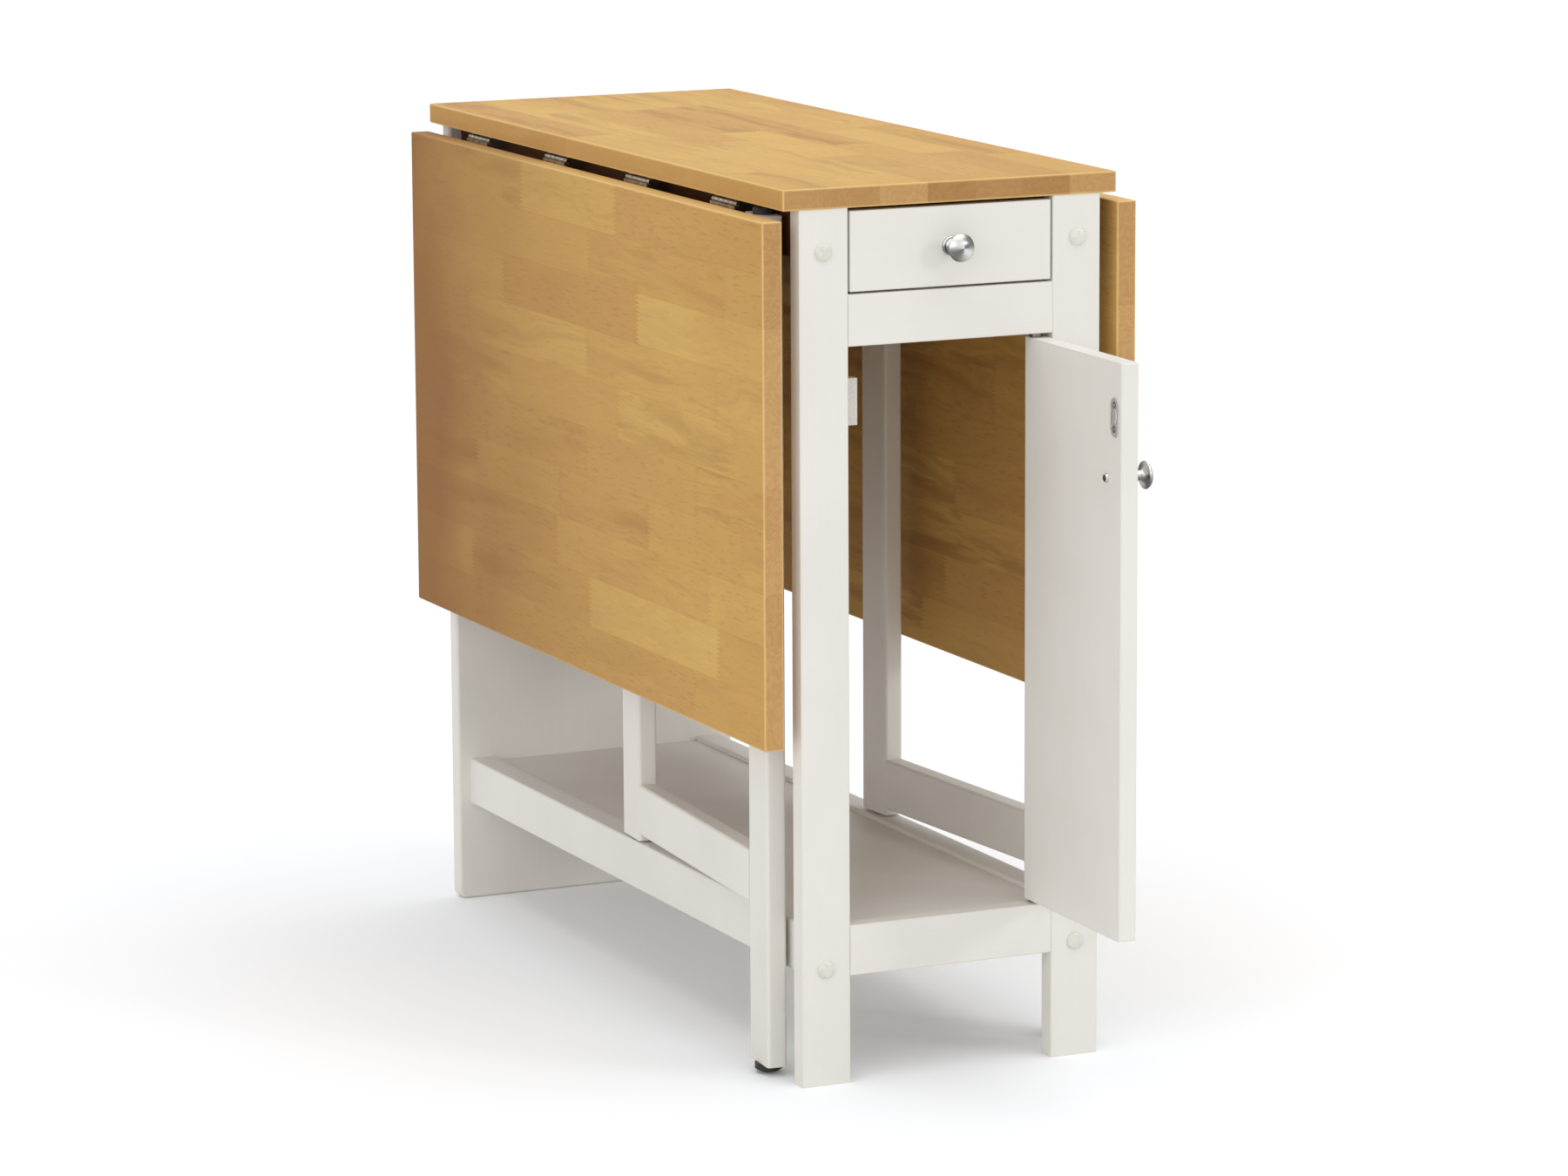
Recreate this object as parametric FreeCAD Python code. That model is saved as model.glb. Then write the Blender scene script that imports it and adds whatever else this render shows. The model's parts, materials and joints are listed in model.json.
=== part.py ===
import FreeCAD, Part
import math
import os

# Drop-leaf kitchen table over a narrow storage cabinet: a fixed top on a white carcass, two hanging
# leaves that swinging gates hold up, a drawer above a door. Millimetres, +Z up, front towards -Y.

# Top and leaves
TABLE_HEIGHT = 770.0
TOP_LENGTH = 800.0
TOP_WIDTH = 312.0
TOP_THICK = 18.0
TOP_EDGE_ROUND = 1.2
LEAF_WIDTH = 448.0
LEAF_GAP = 1.0

# Leaf hinges: the pin lies below the underside and inside the edge of the top
HINGE_COUNT = 4
HINGE_FROM_END = 121.9
HINGE_LENGTH = 50.0
HINGE_PIN_INSET = 3.0
HINGE_PIN_RADIUS = 1.2
HINGE_PIN_CLEARANCE = 0.05
HINGE_SWING_CLEARANCE = 0.3
KNUCKLE_RADIUS = 2.6
KNUCKLE_TO_TOP = 1.5
KNUCKLE_COUNT = 5
KNUCKLE_GAP = 0.8
KNUCKLE_END_EASE = 0.7
PLATE_THICK = 1.2
PLATE_WIDTH = 17.0
PLATE_SCREW_SHARES = ((-0.34, 0.62), (0.0, 0.36), (0.34, 0.62))

# Flat-head wood screws
SCREW_RADIUS = 1.5
SCREW_HEAD_RADIUS = 3.0
SCREW_HEAD_DEPTH = 1.5
SCREW_LENGTH = 12.0
SCREW_CLEARANCE = 0.1

# Front frame and back panel
END_OVERHANG = 1.0
FRAME_SET_IN = 15.0
POST_WIDTH = 45.0
POST_THICK = 18.0
FRAME_EDGE_ROUND = 1.0
PANEL_SET_IN = 12.0
PANEL_THICK = 18.0
PANEL_CORNER_ROUND = 8.0
PANEL_EDGE_ROUND = 3.0
DRAWER_OPENING = 73.0
DRAWER_RAIL_DEPTH = 44.0

# Side rails, one pair under the top and one pair near the floor
RAIL_THICK = 25.0
RAIL_DEPTH = 44.0
LOW_RAIL_HEIGHT = 94.0
RAIL_EDGE_ROUND = 2.0

# Bolted corner joints: bolt, cross nut in the rail, cap over the head, dowel above
BOLT_ABOVE_RAIL_EDGE = 8.0
BOLT_RADIUS = 2.5
BOLT_LENGTH = 52.0
BOLT_HEAD_RADIUS = 5.5
BOLT_HEAD_DEPTH = 4.0
BOLT_SINK = 5.5
BOLT_CLEARANCE = 0.2
NUT_RADIUS = 4.0
NUT_LENGTH = 18.0
NUT_FROM_RAIL_END = 30.0
CAP_RADIUS = 7.5
CAP_RISE = 3.0
CAP_PLUG_DEPTH = 1.2
DOWEL_RADIUS = 4.0
DOWEL_LENGTH = 24.0
DOWEL_IN_FRAME = 10.0
DOWEL_ABOVE_BOLT = 22.0
DOWEL_CLEARANCE = 0.1
FRONT_DOWEL_FROM_EDGE = 9.0
FRONT_DOWEL_PITCH = 12.0

# Long screws that hold the top on the upper rails
TOP_SCREW_RADIUS = 2.0
TOP_SCREW_HEAD_RADIUS = 4.0
TOP_SCREW_HEAD_DEPTH = 3.0
TOP_SCREW_SINK = 20.0
TOP_SCREW_BITE = 10.0
TOP_SCREW_PLACE_SHARES = (-0.36, 0.36)

# Cabinet floor on its cleats
FLOOR_THICK = 9.0
FLOOR_BELOW_RAIL = 4.0
FLOOR_CLEARANCE = 0.3
CLEAT_SIZE = 15.0

# Drawer and its runners
DRAWER_GAP = 2.0
DRAWER_TOP_GAP = 3.0
DRAWER_FRONT_THICK = 16.0
DRAWER_BOX_DEPTH = 340.0
DRAWER_BOX_HEIGHT = 55.0
DRAWER_WALL = 12.0
DRAWER_BOTTOM_THICK = 4.0
DRAWER_BOTTOM_RAISE = 6.0
DRAWER_GROOVE_DEPTH = 5.0
DRAWER_FIT = 0.2
DRAWER_SIDE_CLEARANCE = 2.5
RUNNER_CLEARANCE = 0.5
RUNNER_LEDGE = 18.0
RUNNER_LEDGE_DEPTH = 20.0
RUNNER_LAP_ON_RAIL = 30.0
STOP_RAIL_THICK = 18.0

# Door on pivot pins
DOOR_THICK = 16.0
DOOR_RECESS = 3.5
DOOR_HINGE_GAP = 2.0
DOOR_FREE_GAP = 5.0
DOOR_TOP_GAP = 4.0
DOOR_BOTTOM_GAP = 3.0
DOOR_HINGE_ROUND = 5.0
DOOR_EDGE_ROUND = 1.5
DOOR_OPEN_DEG = 89.0
DOOR_PIN_RADIUS = 3.0
DOOR_PIN_IN_RAIL = 10.0
DOOR_PIN_IN_DOOR = 20.0
DOOR_PIN_CLEARANCE = 0.05
DOOR_COLLAR_RADIUS = 5.5
DOOR_COLLAR_PLAY = 0.2

# Knobs and their screws
KNOB_RADIUS = 12.0
KNOB_REACH = 25.0
KNOB_FLANGE_RADIUS = 8.5
KNOB_FLANGE_THICK = 2.0
KNOB_STEM_RADIUS = 4.5
KNOB_HEAD_THICK = 9.0
KNOB_RIM_THICK = 2.5
KNOB_SCREW_RADIUS = 2.0
KNOB_SCREW_HEAD_RADIUS = 4.0
KNOB_SCREW_HEAD_THICK = 2.2
KNOB_SCREW_BITE = 9.0
DOOR_KNOB_FROM_EDGE = 26.0
DOOR_KNOB_BELOW_TOP = 99.0

# Magnetic catch on the post and its strike plate on the door
STRIKE_LENGTH = 34.0
STRIKE_WIDTH = 15.0
STRIKE_THICK = 1.2
STRIKE_FROM_EDGE = 11.0
STRIKE_BELOW_TOP = 46.0
STRIKE_END_FLAT = 2.0
STRIKE_SCREW_SHARE = 0.3
CATCH_LENGTH = 40.0
CATCH_DEPTH = 13.0
CATCH_ON_POST = 16.0
CATCH_NOSE = 18.0
CATCH_PLAY = 0.3
CATCH_SCREW_SHARE = 0.3
CATCH_SCREW_BITE = 12.0

# Gates, which fold into the room between the side rails and the hanging leaves
GATE_THICK = 18.0
GATE_ROOM = 7.5
GATE_LEAF_CLEARANCE = 2.8
GATE_PIVOT_SET_IN = 10.0
GATE_PIVOT_FORWARD = 9.0
GATE_LEG_TO_POST = 23.0
GATE_POST_WIDTH = 44.0
GATE_LEG_WIDTH = 44.5
GATE_RAIL_DEPTH = 46.5
GATE_RAIL_FROM_END = 5.5
GATE_PLAY = 2.0
GATE_EDGE_ROUND = 3.0
GATE_TENON_THICK = 7.0
GATE_TENON_LENGTH = 15.0
GATE_TENON_SHOULDER = 6.0
GATE_TENON_CLEARANCE = 0.15
GATE_PIN_RADIUS = 4.0
GATE_PIN_IN_RAIL = 18.0
GATE_PIN_IN_POST = 30.0
GATE_PIN_CLEARANCE = 0.05
GATE_COLLAR_RADIUS = 8.0
GATE_COLLAR_PLAY = 0.2
GLIDE_RADIUS = 12.0
GLIDE_HEIGHT = 9.0
GLIDE_DOME = 4.0
GLIDE_STEM_RADIUS = 3.0
GLIDE_STEM_LENGTH = 14.0
PAD_RADIUS = 9.5
PAD_HEIGHT = 8.5
PAD_DOME = 3.0
PAD_CLEARANCE = 0.5

OVERRUN = 1.0
ALIGNED_SHARE = 0.999999
SIDES = {"left": -1, "right": 1}

# Places worked out from the sizes above
top_half = TOP_WIDTH / 2
top_end = TOP_LENGTH / 2
top_bottom = TABLE_HEIGHT - TOP_THICK
front = END_OVERHANG - top_end
back = top_end - END_OVERHANG
post_back = front + POST_THICK
panel_front = back - PANEL_THICK
frame_half = top_half - FRAME_SET_IN
panel_half = top_half - PANEL_SET_IN
opening_half = frame_half - POST_WIDTH
low_rail_top = LOW_RAIL_HEIGHT + RAIL_DEPTH
up_rail_bottom = top_bottom - RAIL_DEPTH
drawer_sill = top_bottom - DRAWER_OPENING
door_lintel = drawer_sill - DRAWER_RAIL_DEPTH
pin_x = top_half - HINGE_PIN_INSET
pin_drop = KNUCKLE_RADIUS + KNUCKLE_TO_TOP
pin_z = top_bottom - pin_drop
leaf_in = pin_x + pin_drop
leaf_top = pin_z - HINGE_PIN_INSET - LEAF_GAP
rail_out = leaf_in - GATE_THICK - GATE_ROOM
rail_in = rail_out - RAIL_THICK
rail_mid = (rail_out + rail_in) / 2
gate_x = rail_out - GATE_PIVOT_SET_IN
gate_y = -GATE_PIVOT_FORWARD
gate_reach = gate_y - post_back - GATE_LEG_TO_POST
door_x = opening_half - DOOR_HINGE_GAP - DOOR_THICK / 2
door_y = front + DOOR_RECESS + DOOR_THICK / 2
door_free = DOOR_FREE_GAP - opening_half
door_bottom = low_rail_top + DOOR_BOTTOM_GAP
door_top = door_lintel - DOOR_TOP_GAP
door_inner = door_y + DOOR_THICK / 2
door_knob_z = door_top - DOOR_KNOB_BELOW_TOP
strike_z = door_top - STRIKE_BELOW_TOP
box_half = opening_half - DRAWER_SIDE_CLEARANCE
box_bottom = drawer_sill + RUNNER_CLEARANCE
box_front = front + DRAWER_FRONT_THICK
box_back = box_front + DRAWER_BOX_DEPTH
hinge_pitch = (TOP_LENGTH - 2 * HINGE_FROM_END) / (HINGE_COUNT - 1)
hinge_places = [(i - (HINGE_COUNT - 1) / 2) * hinge_pitch for i in range(HINGE_COUNT)]
bolt_heights = (LOW_RAIL_HEIGHT + BOLT_ABOVE_RAIL_EDGE, up_rail_bottom + BOLT_ABOVE_RAIL_EDGE)

ORIGIN = FreeCAD.Vector(0, 0, 0)
X_AXIS = FreeCAD.Vector(1, 0, 0)
Y_AXIS = FreeCAD.Vector(0, 1, 0)
Z_AXIS = FreeCAD.Vector(0, 0, 1)


# Small tools for boards, rods and round pieces
def block(x0, x1, y0, y1, z0, z1):
    return Part.makeBox(x1 - x0, y1 - y0, z1 - z0, FreeCAD.Vector(x0, y0, z0))


def rod(radius, x, y, z, along, length):
    return Part.makeCylinder(radius, length, FreeCAD.Vector(x, y, z), along)


def ease(shape, radius, axes):
    """Round the straight edges that run along the given axes."""
    edges = []
    for edge in shape.Edges:
        run = edge.Vertexes[-1].Point - edge.Vertexes[0].Point
        if any(abs(run.normalize().dot(axis)) > ALIGNED_SHARE for axis in axes):
            edges.append(edge)
    return shape.makeFillet(radius, edges)


def less(shape, tools):
    result = shape.cut(tools)
    return result.Solids[0] if len(result.Solids) == 1 else result


def moved(shape, x, y, z):
    copy = shape.copy()
    copy.translate(FreeCAD.Vector(x, y, z))
    return copy


def turned(shape, axis, degrees, x=0, y=0, z=0):
    copy = shape.copy()
    copy.rotate(FreeCAD.Vector(x, y, z), axis, degrees)
    return copy


def on_side(shape, side):
    """Shapes are drawn for the right side; the left one is their mirror image."""
    return shape if side > 0 else shape.mirror(ORIGIN, X_AXIS)


def both_sides(shape):
    return [on_side(shape, side) for side in SIDES.values()]


def spun(points):
    """Turn an outline about Z. A step that is a pair of points is an arc: its middle, then its end."""
    edges = []
    start = points[0]
    for step in points[1:]:
        if isinstance(step[0], tuple):
            middle, end = step
            edges.append(Part.Arc(at(start), at(middle), at(end)).toShape())
        else:
            end = step
            edges.append(Part.makeLine(at(start), at(end)))
        start = end
    edges.append(Part.makeLine(at(start), at(points[0])))
    return Part.Face(Part.Wire(edges)).revolve(ORIGIN, Z_AXIS, 360)


def at(point):
    return FreeCAD.Vector(point[0], 0, point[1])


def crown(radius, rise, base=0.0):
    """Arc from the rim of a domed cap, at height base, up to its top on the axis."""
    sphere_radius = (radius ** 2 + rise ** 2) / (2 * rise)
    half = math.asin(radius / sphere_radius) / 2
    middle = (sphere_radius * math.sin(half), base + rise - sphere_radius * (1 - math.cos(half)))
    return (middle, (0, base + rise))


def dome(radius, rise):
    """A cap that stands on z = 0, round in section."""
    return spun([(0, 0), (radius, 0), crown(radius, rise)])


def flat_screw(length, clearance=0.0):
    """A countersunk screw that points up, with its head's face on z = 0."""
    head = Part.makeCone(SCREW_HEAD_RADIUS + clearance, SCREW_RADIUS + clearance, SCREW_HEAD_DEPTH)
    return head.fuse(rod(SCREW_RADIUS + clearance, 0, 0, 0, Z_AXIS, length + clearance)).removeSplitter()


# Leaf hinges, drawn with the pin on the Y axis and the leaf raised towards +X
def knuckles(first):
    pitch = HINGE_LENGTH / KNUCKLE_COUNT
    spans = []
    for i in range(first, KNUCKLE_COUNT, 2):
        start = i * pitch - HINGE_LENGTH / 2
        near = start + (KNUCKLE_GAP / 2 if i > 0 else 0)
        far = start + pitch - (KNUCKLE_GAP / 2 if i < KNUCKLE_COUNT - 1 else 0)
        spans.append((near, far))
    return spans


def plate_screw_places(inner):
    return [(inner + across * PLATE_WIDTH, along * HINGE_LENGTH) for along, across in PLATE_SCREW_SHARES]


def hinge_plate(first, inner, sink):
    """Plate from the web out to its free edge, with its knuckles. Sink drops the bare strip by the pin."""
    face = pin_drop
    web_in = KNUCKLE_RADIUS - PLATE_THICK
    half = HINGE_LENGTH / 2
    plate = block(inner, inner + PLATE_WIDTH, -half, half, face - PLATE_THICK, face)
    strip = block(web_in, inner + PLATE_THICK, -half, half, face - PLATE_THICK - sink, face - sink)
    plate = plate.fuse(strip)
    for near, far in knuckles(first):
        web = block(web_in, KNUCKLE_RADIUS, near, far, 0, face - PLATE_THICK / 2 - sink)
        barrel = rod(KNUCKLE_RADIUS, 0, near, 0, Y_AXIS, far - near)
        rims = [edge for edge in barrel.Edges if edge.isClosed()]
        plate = plate.fuse([web, barrel.makeChamfer(KNUCKLE_END_EASE, rims)])
    bore_start = -half - OVERRUN
    bore = rod(HINGE_PIN_RADIUS + HINGE_PIN_CLEARANCE, 0, bore_start, 0, Y_AXIS, HINGE_LENGTH + 2 * OVERRUN)
    holes = [moved(flat_screw(SCREW_LENGTH, SCREW_CLEARANCE), x, y, face - PLATE_THICK)
             for x, y in plate_screw_places(inner)]
    return less(plate.removeSplitter(), [bore] + holes)


def plate_screws(inner, clearance=0.0):
    return [moved(flat_screw(SCREW_LENGTH, clearance), x, y, pin_drop - PLATE_THICK)
            for x, y in plate_screw_places(inner)]


def top_hinge_side(shape):
    """The plate under the top lies on the other side of the pin."""
    return shape.mirror(ORIGIN, X_AXIS)


def leaf_hinge_side(shape):
    """The leaf hangs, so its plate is turned down about the pin."""
    return turned(shape, Y_AXIS, 90)


def at_hinges(shapes):
    return [moved(shape, pin_x, y, pin_z) for y in hinge_places for shape in shapes]


top_plate_inner = KNUCKLE_RADIUS - PLATE_THICK
leaf_plate_inner = HINGE_PIN_INSET + LEAF_GAP
top_plates = at_hinges([top_hinge_side(hinge_plate(0, top_plate_inner, 0))])
top_plate_screws = at_hinges([top_hinge_side(s) for s in plate_screws(top_plate_inner)])
top_plate_holes = at_hinges([top_hinge_side(s) for s in plate_screws(top_plate_inner, SCREW_CLEARANCE)])
leaf_plates = at_hinges([leaf_hinge_side(hinge_plate(1, leaf_plate_inner, HINGE_SWING_CLEARANCE))])
leaf_plate_screws = at_hinges([leaf_hinge_side(s) for s in plate_screws(leaf_plate_inner)])
leaf_plate_holes = at_hinges([leaf_hinge_side(s) for s in plate_screws(leaf_plate_inner, SCREW_CLEARANCE)])
hinge_pins = at_hinges([rod(HINGE_PIN_RADIUS, 0, -HINGE_LENGTH / 2, 0, Y_AXIS, HINGE_LENGTH)])


# Bolted and dowelled joints at the ends of the side rails, drawn on the right
def bolt(clearance=0.0):
    """A bolt that points along +Z, with its head's underside on z = 0."""
    shank = rod(BOLT_RADIUS + clearance, 0, 0, 0, Z_AXIS, BOLT_LENGTH + clearance)
    head = rod(BOLT_HEAD_RADIUS + clearance, 0, 0, -BOLT_HEAD_DEPTH, Z_AXIS, BOLT_HEAD_DEPTH)
    return shank.fuse(head).removeSplitter()


def bolt_hole():
    well_depth = BOLT_SINK + OVERRUN
    well = rod(BOLT_HEAD_RADIUS + BOLT_CLEARANCE, 0, 0, -well_depth, Z_AXIS, well_depth)
    shank = rod(BOLT_RADIUS + BOLT_CLEARANCE, 0, 0, 0, Z_AXIS, BOLT_LENGTH + OVERRUN)
    return shank.fuse(well).removeSplitter()


def bolt_cap():
    """The dome stands on the board's face at z = 0 and its plug goes into the bolt's well."""
    plug = rod(BOLT_HEAD_RADIUS, 0, 0, -CAP_PLUG_DEPTH, Z_AXIS, CAP_PLUG_DEPTH)
    return dome(CAP_RADIUS, CAP_RISE).fuse(plug).removeSplitter()


def at_joints(front_shape, back_shape):
    """Front shapes point along +Y from the front face and back shapes along -Y from the back face."""
    placed = []
    for z in bolt_heights:
        facing_back = turned(front_shape, X_AXIS, -90)
        facing_front = turned(back_shape, X_AXIS, 90)
        placed.append(moved(facing_back, rail_mid, front, z))
        placed.append(moved(facing_front, rail_mid, back, z))
    return [s for shape in placed for s in both_sides(shape)]


def end_dowels(clearance=0.0):
    """Dowels between the side rails and the posts or the panel."""
    reach = DOWEL_LENGTH + 2 * clearance
    shapes = []
    for z in bolt_heights:
        height = z + DOWEL_ABOVE_BOLT
        front_start = post_back - DOWEL_IN_FRAME - clearance
        back_start = panel_front + DOWEL_IN_FRAME + clearance - reach
        for start in (front_start, back_start):
            shapes += both_sides(rod(DOWEL_RADIUS + clearance, rail_mid, start, height, Y_AXIS, reach))
    return shapes


def front_dowels(clearance=0.0):
    """Dowels between the posts and the two rails of the front frame."""
    reach = DOWEL_LENGTH + 2 * clearance
    start = opening_half + DOWEL_LENGTH / 2 - reach + clearance
    y = (front + post_back) / 2
    far_dowel = FRONT_DOWEL_FROM_EDGE + FRONT_DOWEL_PITCH
    shapes = []
    for offset in (FRONT_DOWEL_FROM_EDGE, far_dowel):
        for z in (drawer_sill - offset, LOW_RAIL_HEIGHT + offset):
            shapes += both_sides(rod(DOWEL_RADIUS + clearance, start, y, z, X_AXIS, reach))
    return shapes


def cross_nuts(clearance=0.0):
    reach = NUT_LENGTH + clearance
    nuts = []
    for z in bolt_heights:
        for y in (post_back + NUT_FROM_RAIL_END, panel_front - NUT_FROM_RAIL_END):
            nuts.append(rod(NUT_RADIUS + clearance, rail_in, y, z, X_AXIS, reach))
    return [s for nut in nuts for s in both_sides(nut)]


seated_bolt = moved(bolt(), 0, 0, BOLT_SINK)
seated_hole = moved(bolt_hole(), 0, 0, BOLT_SINK)
outward_cap = turned(bolt_cap(), X_AXIS, 180)
bolts = at_joints(seated_bolt, seated_bolt)
bolt_holes = at_joints(seated_hole, seated_hole)
bolt_caps = at_joints(outward_cap, outward_cap)
nut_holes = cross_nuts(BOLT_CLEARANCE)
nuts = [less(nut, bolt_holes) for nut in cross_nuts()]
dowel_holes = end_dowels(DOWEL_CLEARANCE) + front_dowels(DOWEL_CLEARANCE)


# Screws through the upper rails into the top
def top_screw(clearance=0.0):
    z = up_rail_bottom + TOP_SCREW_SINK
    shank_top = top_bottom + TOP_SCREW_BITE + clearance
    head_radius = TOP_SCREW_HEAD_RADIUS + clearance
    head = rod(head_radius, rail_mid, 0, z - TOP_SCREW_HEAD_DEPTH, Z_AXIS, TOP_SCREW_HEAD_DEPTH)
    shank = rod(TOP_SCREW_RADIUS + clearance, rail_mid, 0, z, Z_AXIS, shank_top - z)
    return head.fuse(shank).removeSplitter()


def top_screw_hole():
    start = up_rail_bottom - OVERRUN
    well = rod(TOP_SCREW_HEAD_RADIUS + SCREW_CLEARANCE, rail_mid, 0, start, Z_AXIS, TOP_SCREW_SINK + OVERRUN)
    return well.fuse(top_screw(SCREW_CLEARANCE)).removeSplitter()


def at_top_screws(shape):
    return [on_side(moved(shape, 0, share * TOP_LENGTH, 0), side)
            for side in SIDES.values() for share in TOP_SCREW_PLACE_SHARES]


top_screws = at_top_screws(top_screw())
top_screw_holes = at_top_screws(top_screw_hole())


# Gates, drawn closed along -Y on the right and then turned to where they rest
def gate_pin(post_end, rail_face, into_post):
    """Pin with a collar in the gap between post and rail. Into_post is +1 where the post stands above."""
    collar_start = rail_face + into_post * GATE_COLLAR_PLAY
    low = min(rail_face - into_post * GATE_PIN_IN_RAIL, post_end + into_post * GATE_PIN_IN_POST)
    high = max(rail_face - into_post * GATE_PIN_IN_RAIL, post_end + into_post * GATE_PIN_IN_POST)
    collar_low = min(collar_start, post_end)
    pin = rod(GATE_PIN_RADIUS, gate_x, gate_y, low, Z_AXIS, high - low)
    collar = rod(GATE_COLLAR_RADIUS, gate_x, gate_y, collar_low, Z_AXIS, abs(post_end - collar_start))
    return pin.fuse(collar).removeSplitter()


def gate_bore(post_end, into_post):
    depth = GATE_PIN_IN_POST + GATE_PIN_CLEARANCE
    start = post_end - OVERRUN if into_post > 0 else post_end - depth
    return rod(GATE_PIN_RADIUS + GATE_PIN_CLEARANCE, gate_x, gate_y, start, Z_AXIS, depth + OVERRUN)


def gate_rail_bore(rail_face, into_rail):
    """Bore in a side rail; the running clearance lets the pin turn."""
    depth = GATE_PIN_IN_RAIL + GATE_COLLAR_PLAY
    start = rail_face - depth if into_rail < 0 else rail_face - OVERRUN
    return rod(GATE_PIN_RADIUS + GATE_PIN_CLEARANCE, gate_x, gate_y, start, Z_AXIS, depth + OVERRUN)


def gate_tenons(low, clearance=0.0):
    near = gate_y - GATE_POST_WIDTH / 2
    far = gate_y - gate_reach + GATE_LEG_WIDTH
    half = GATE_TENON_THICK / 2 + clearance
    reach = GATE_TENON_LENGTH + clearance
    z0 = low + GATE_TENON_SHOULDER - clearance
    z1 = low + GATE_RAIL_DEPTH - GATE_TENON_SHOULDER + clearance
    tenons = []
    for y0, y1 in ((near - OVERRUN, near + reach), (far - reach, far + OVERRUN)):
        tenons.append(block(gate_x - half, gate_x + half, y0, y1, z0, z1))
    return tenons


def gate_rail(low):
    near = gate_y - GATE_POST_WIDTH / 2
    far = gate_y - gate_reach + GATE_LEG_WIDTH
    half = GATE_THICK / 2
    rail = block(gate_x - half, gate_x + half, far, near, low, low + GATE_RAIL_DEPTH)
    return ease(rail, GATE_EDGE_ROUND, [Y_AXIS]).fuse(gate_tenons(low)).removeSplitter()


def gate_glide():
    """Domed foot under the leg with a stem up into it."""
    z = GLIDE_HEIGHT
    disc = rod(GLIDE_RADIUS, 0, 0, GLIDE_DOME, Z_AXIS, z - GLIDE_DOME)
    stem = rod(GLIDE_STEM_RADIUS, 0, 0, z, Z_AXIS, GLIDE_STEM_LENGTH)
    foot = moved(turned(dome(GLIDE_RADIUS, GLIDE_DOME), X_AXIS, 180), 0, 0, GLIDE_DOME)
    return disc.fuse([stem, foot]).removeSplitter()


def gate_pad():
    """Rubber button on top of the leg that bears the raised leaf, with a stem down into it."""
    disc = rod(PAD_RADIUS, 0, 0, 0, Z_AXIS, PAD_HEIGHT - PAD_DOME)
    cap = moved(dome(PAD_RADIUS, PAD_DOME), 0, 0, PAD_HEIGHT - PAD_DOME)
    stem = rod(GLIDE_STEM_RADIUS, 0, 0, -GLIDE_STEM_LENGTH, Z_AXIS, GLIDE_STEM_LENGTH)
    return disc.fuse([cap, stem]).removeSplitter()


# At rest the outer corner of the leg's free edge stands just inside the leaf
leg_corner_reach = math.hypot(gate_reach, GATE_THICK / 2)
leg_corner_turn = math.atan2(GATE_THICK / 2, gate_reach)
leg_corner_out = leaf_in - GATE_LEAF_CLEARANCE - gate_x
gate_rest_deg = math.degrees(math.asin(leg_corner_out / leg_corner_reach) - leg_corner_turn)
gate_leg_top = top_bottom - PAD_CLEARANCE - PAD_HEIGHT
gate_post_bottom = low_rail_top + GATE_PLAY
gate_post_top = up_rail_bottom - GATE_PLAY
gate_leg_y = gate_y - gate_reach + GATE_LEG_WIDTH / 2
gate_rail_lows = {
    "bottom": gate_post_bottom + GATE_RAIL_FROM_END,
    "top": gate_post_top - GATE_RAIL_FROM_END - GATE_RAIL_DEPTH,
}


def gate_pieces():
    half = GATE_THICK / 2
    mortises = [m for low in gate_rail_lows.values() for m in gate_tenons(low, GATE_TENON_CLEARANCE)]
    post_half = GATE_POST_WIDTH / 2
    post = block(gate_x - half, gate_x + half, gate_y - post_half, gate_y + post_half,
                 gate_post_bottom, gate_post_top)
    post = ease(post, GATE_EDGE_ROUND, [Z_AXIS])
    bores = [gate_bore(gate_post_bottom, 1), gate_bore(gate_post_top, -1)]
    leg_half = GATE_LEG_WIDTH / 2
    leg = block(gate_x - half, gate_x + half, gate_leg_y - leg_half, gate_leg_y + leg_half,
                GLIDE_HEIGHT, gate_leg_top)
    leg = ease(leg, GATE_EDGE_ROUND, [Z_AXIS])
    stem_radius = GLIDE_STEM_RADIUS + SCREW_CLEARANCE
    stem_depth = GLIDE_STEM_LENGTH + OVERRUN
    stem_holes = [rod(stem_radius, gate_x, gate_leg_y, z, Z_AXIS, stem_depth + OVERRUN)
                  for z in (GLIDE_HEIGHT - OVERRUN, gate_leg_top - stem_depth)]
    pins = [gate_pin(gate_post_bottom, low_rail_top, 1), gate_pin(gate_post_top, up_rail_bottom, -1)]
    pieces = {
        "gate_pivot_post": less(post, mortises + bores),
        "gate_leg": less(leg, mortises + stem_holes),
        "gate_bottom_rail": gate_rail(gate_rail_lows["bottom"]),
        "gate_top_rail": gate_rail(gate_rail_lows["top"]),
        "gate_foot_glide": moved(gate_glide(), gate_x, gate_leg_y, 0),
        "gate_top_pad": moved(gate_pad(), gate_x, gate_leg_y, gate_leg_top),
        "gate_pivot_pins": Part.makeCompound(pins),
    }
    return {name: turned(s, Z_AXIS, gate_rest_deg, gate_x, gate_y) for name, s in pieces.items()}


# Boards of the carcass
def top_board():
    board = block(-top_half, top_half, -top_end, top_end, top_bottom, TABLE_HEIGHT)
    board = ease(board, TOP_EDGE_ROUND, [X_AXIS, Y_AXIS, Z_AXIS])
    screw_holes = [s for hole in top_plate_holes for s in both_sides(hole)]
    return less(board, screw_holes + top_screw_holes)


def front_post(side):
    post = ease(block(opening_half, frame_half, front, post_back, 0, top_bottom), FRAME_EDGE_ROUND, [Z_AXIS])
    holes = bolt_holes + dowel_holes
    if side < 0:
        holes = holes + catch_screws(SCREW_CLEARANCE)
    return less(on_side(post, side), holes)


def cross_rail(low, depth, pin_bore):
    rail = block(-opening_half, opening_half, front, post_back, low, low + depth)
    return less(ease(rail, FRAME_EDGE_ROUND, [X_AXIS]), dowel_holes + [pin_bore])


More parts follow.
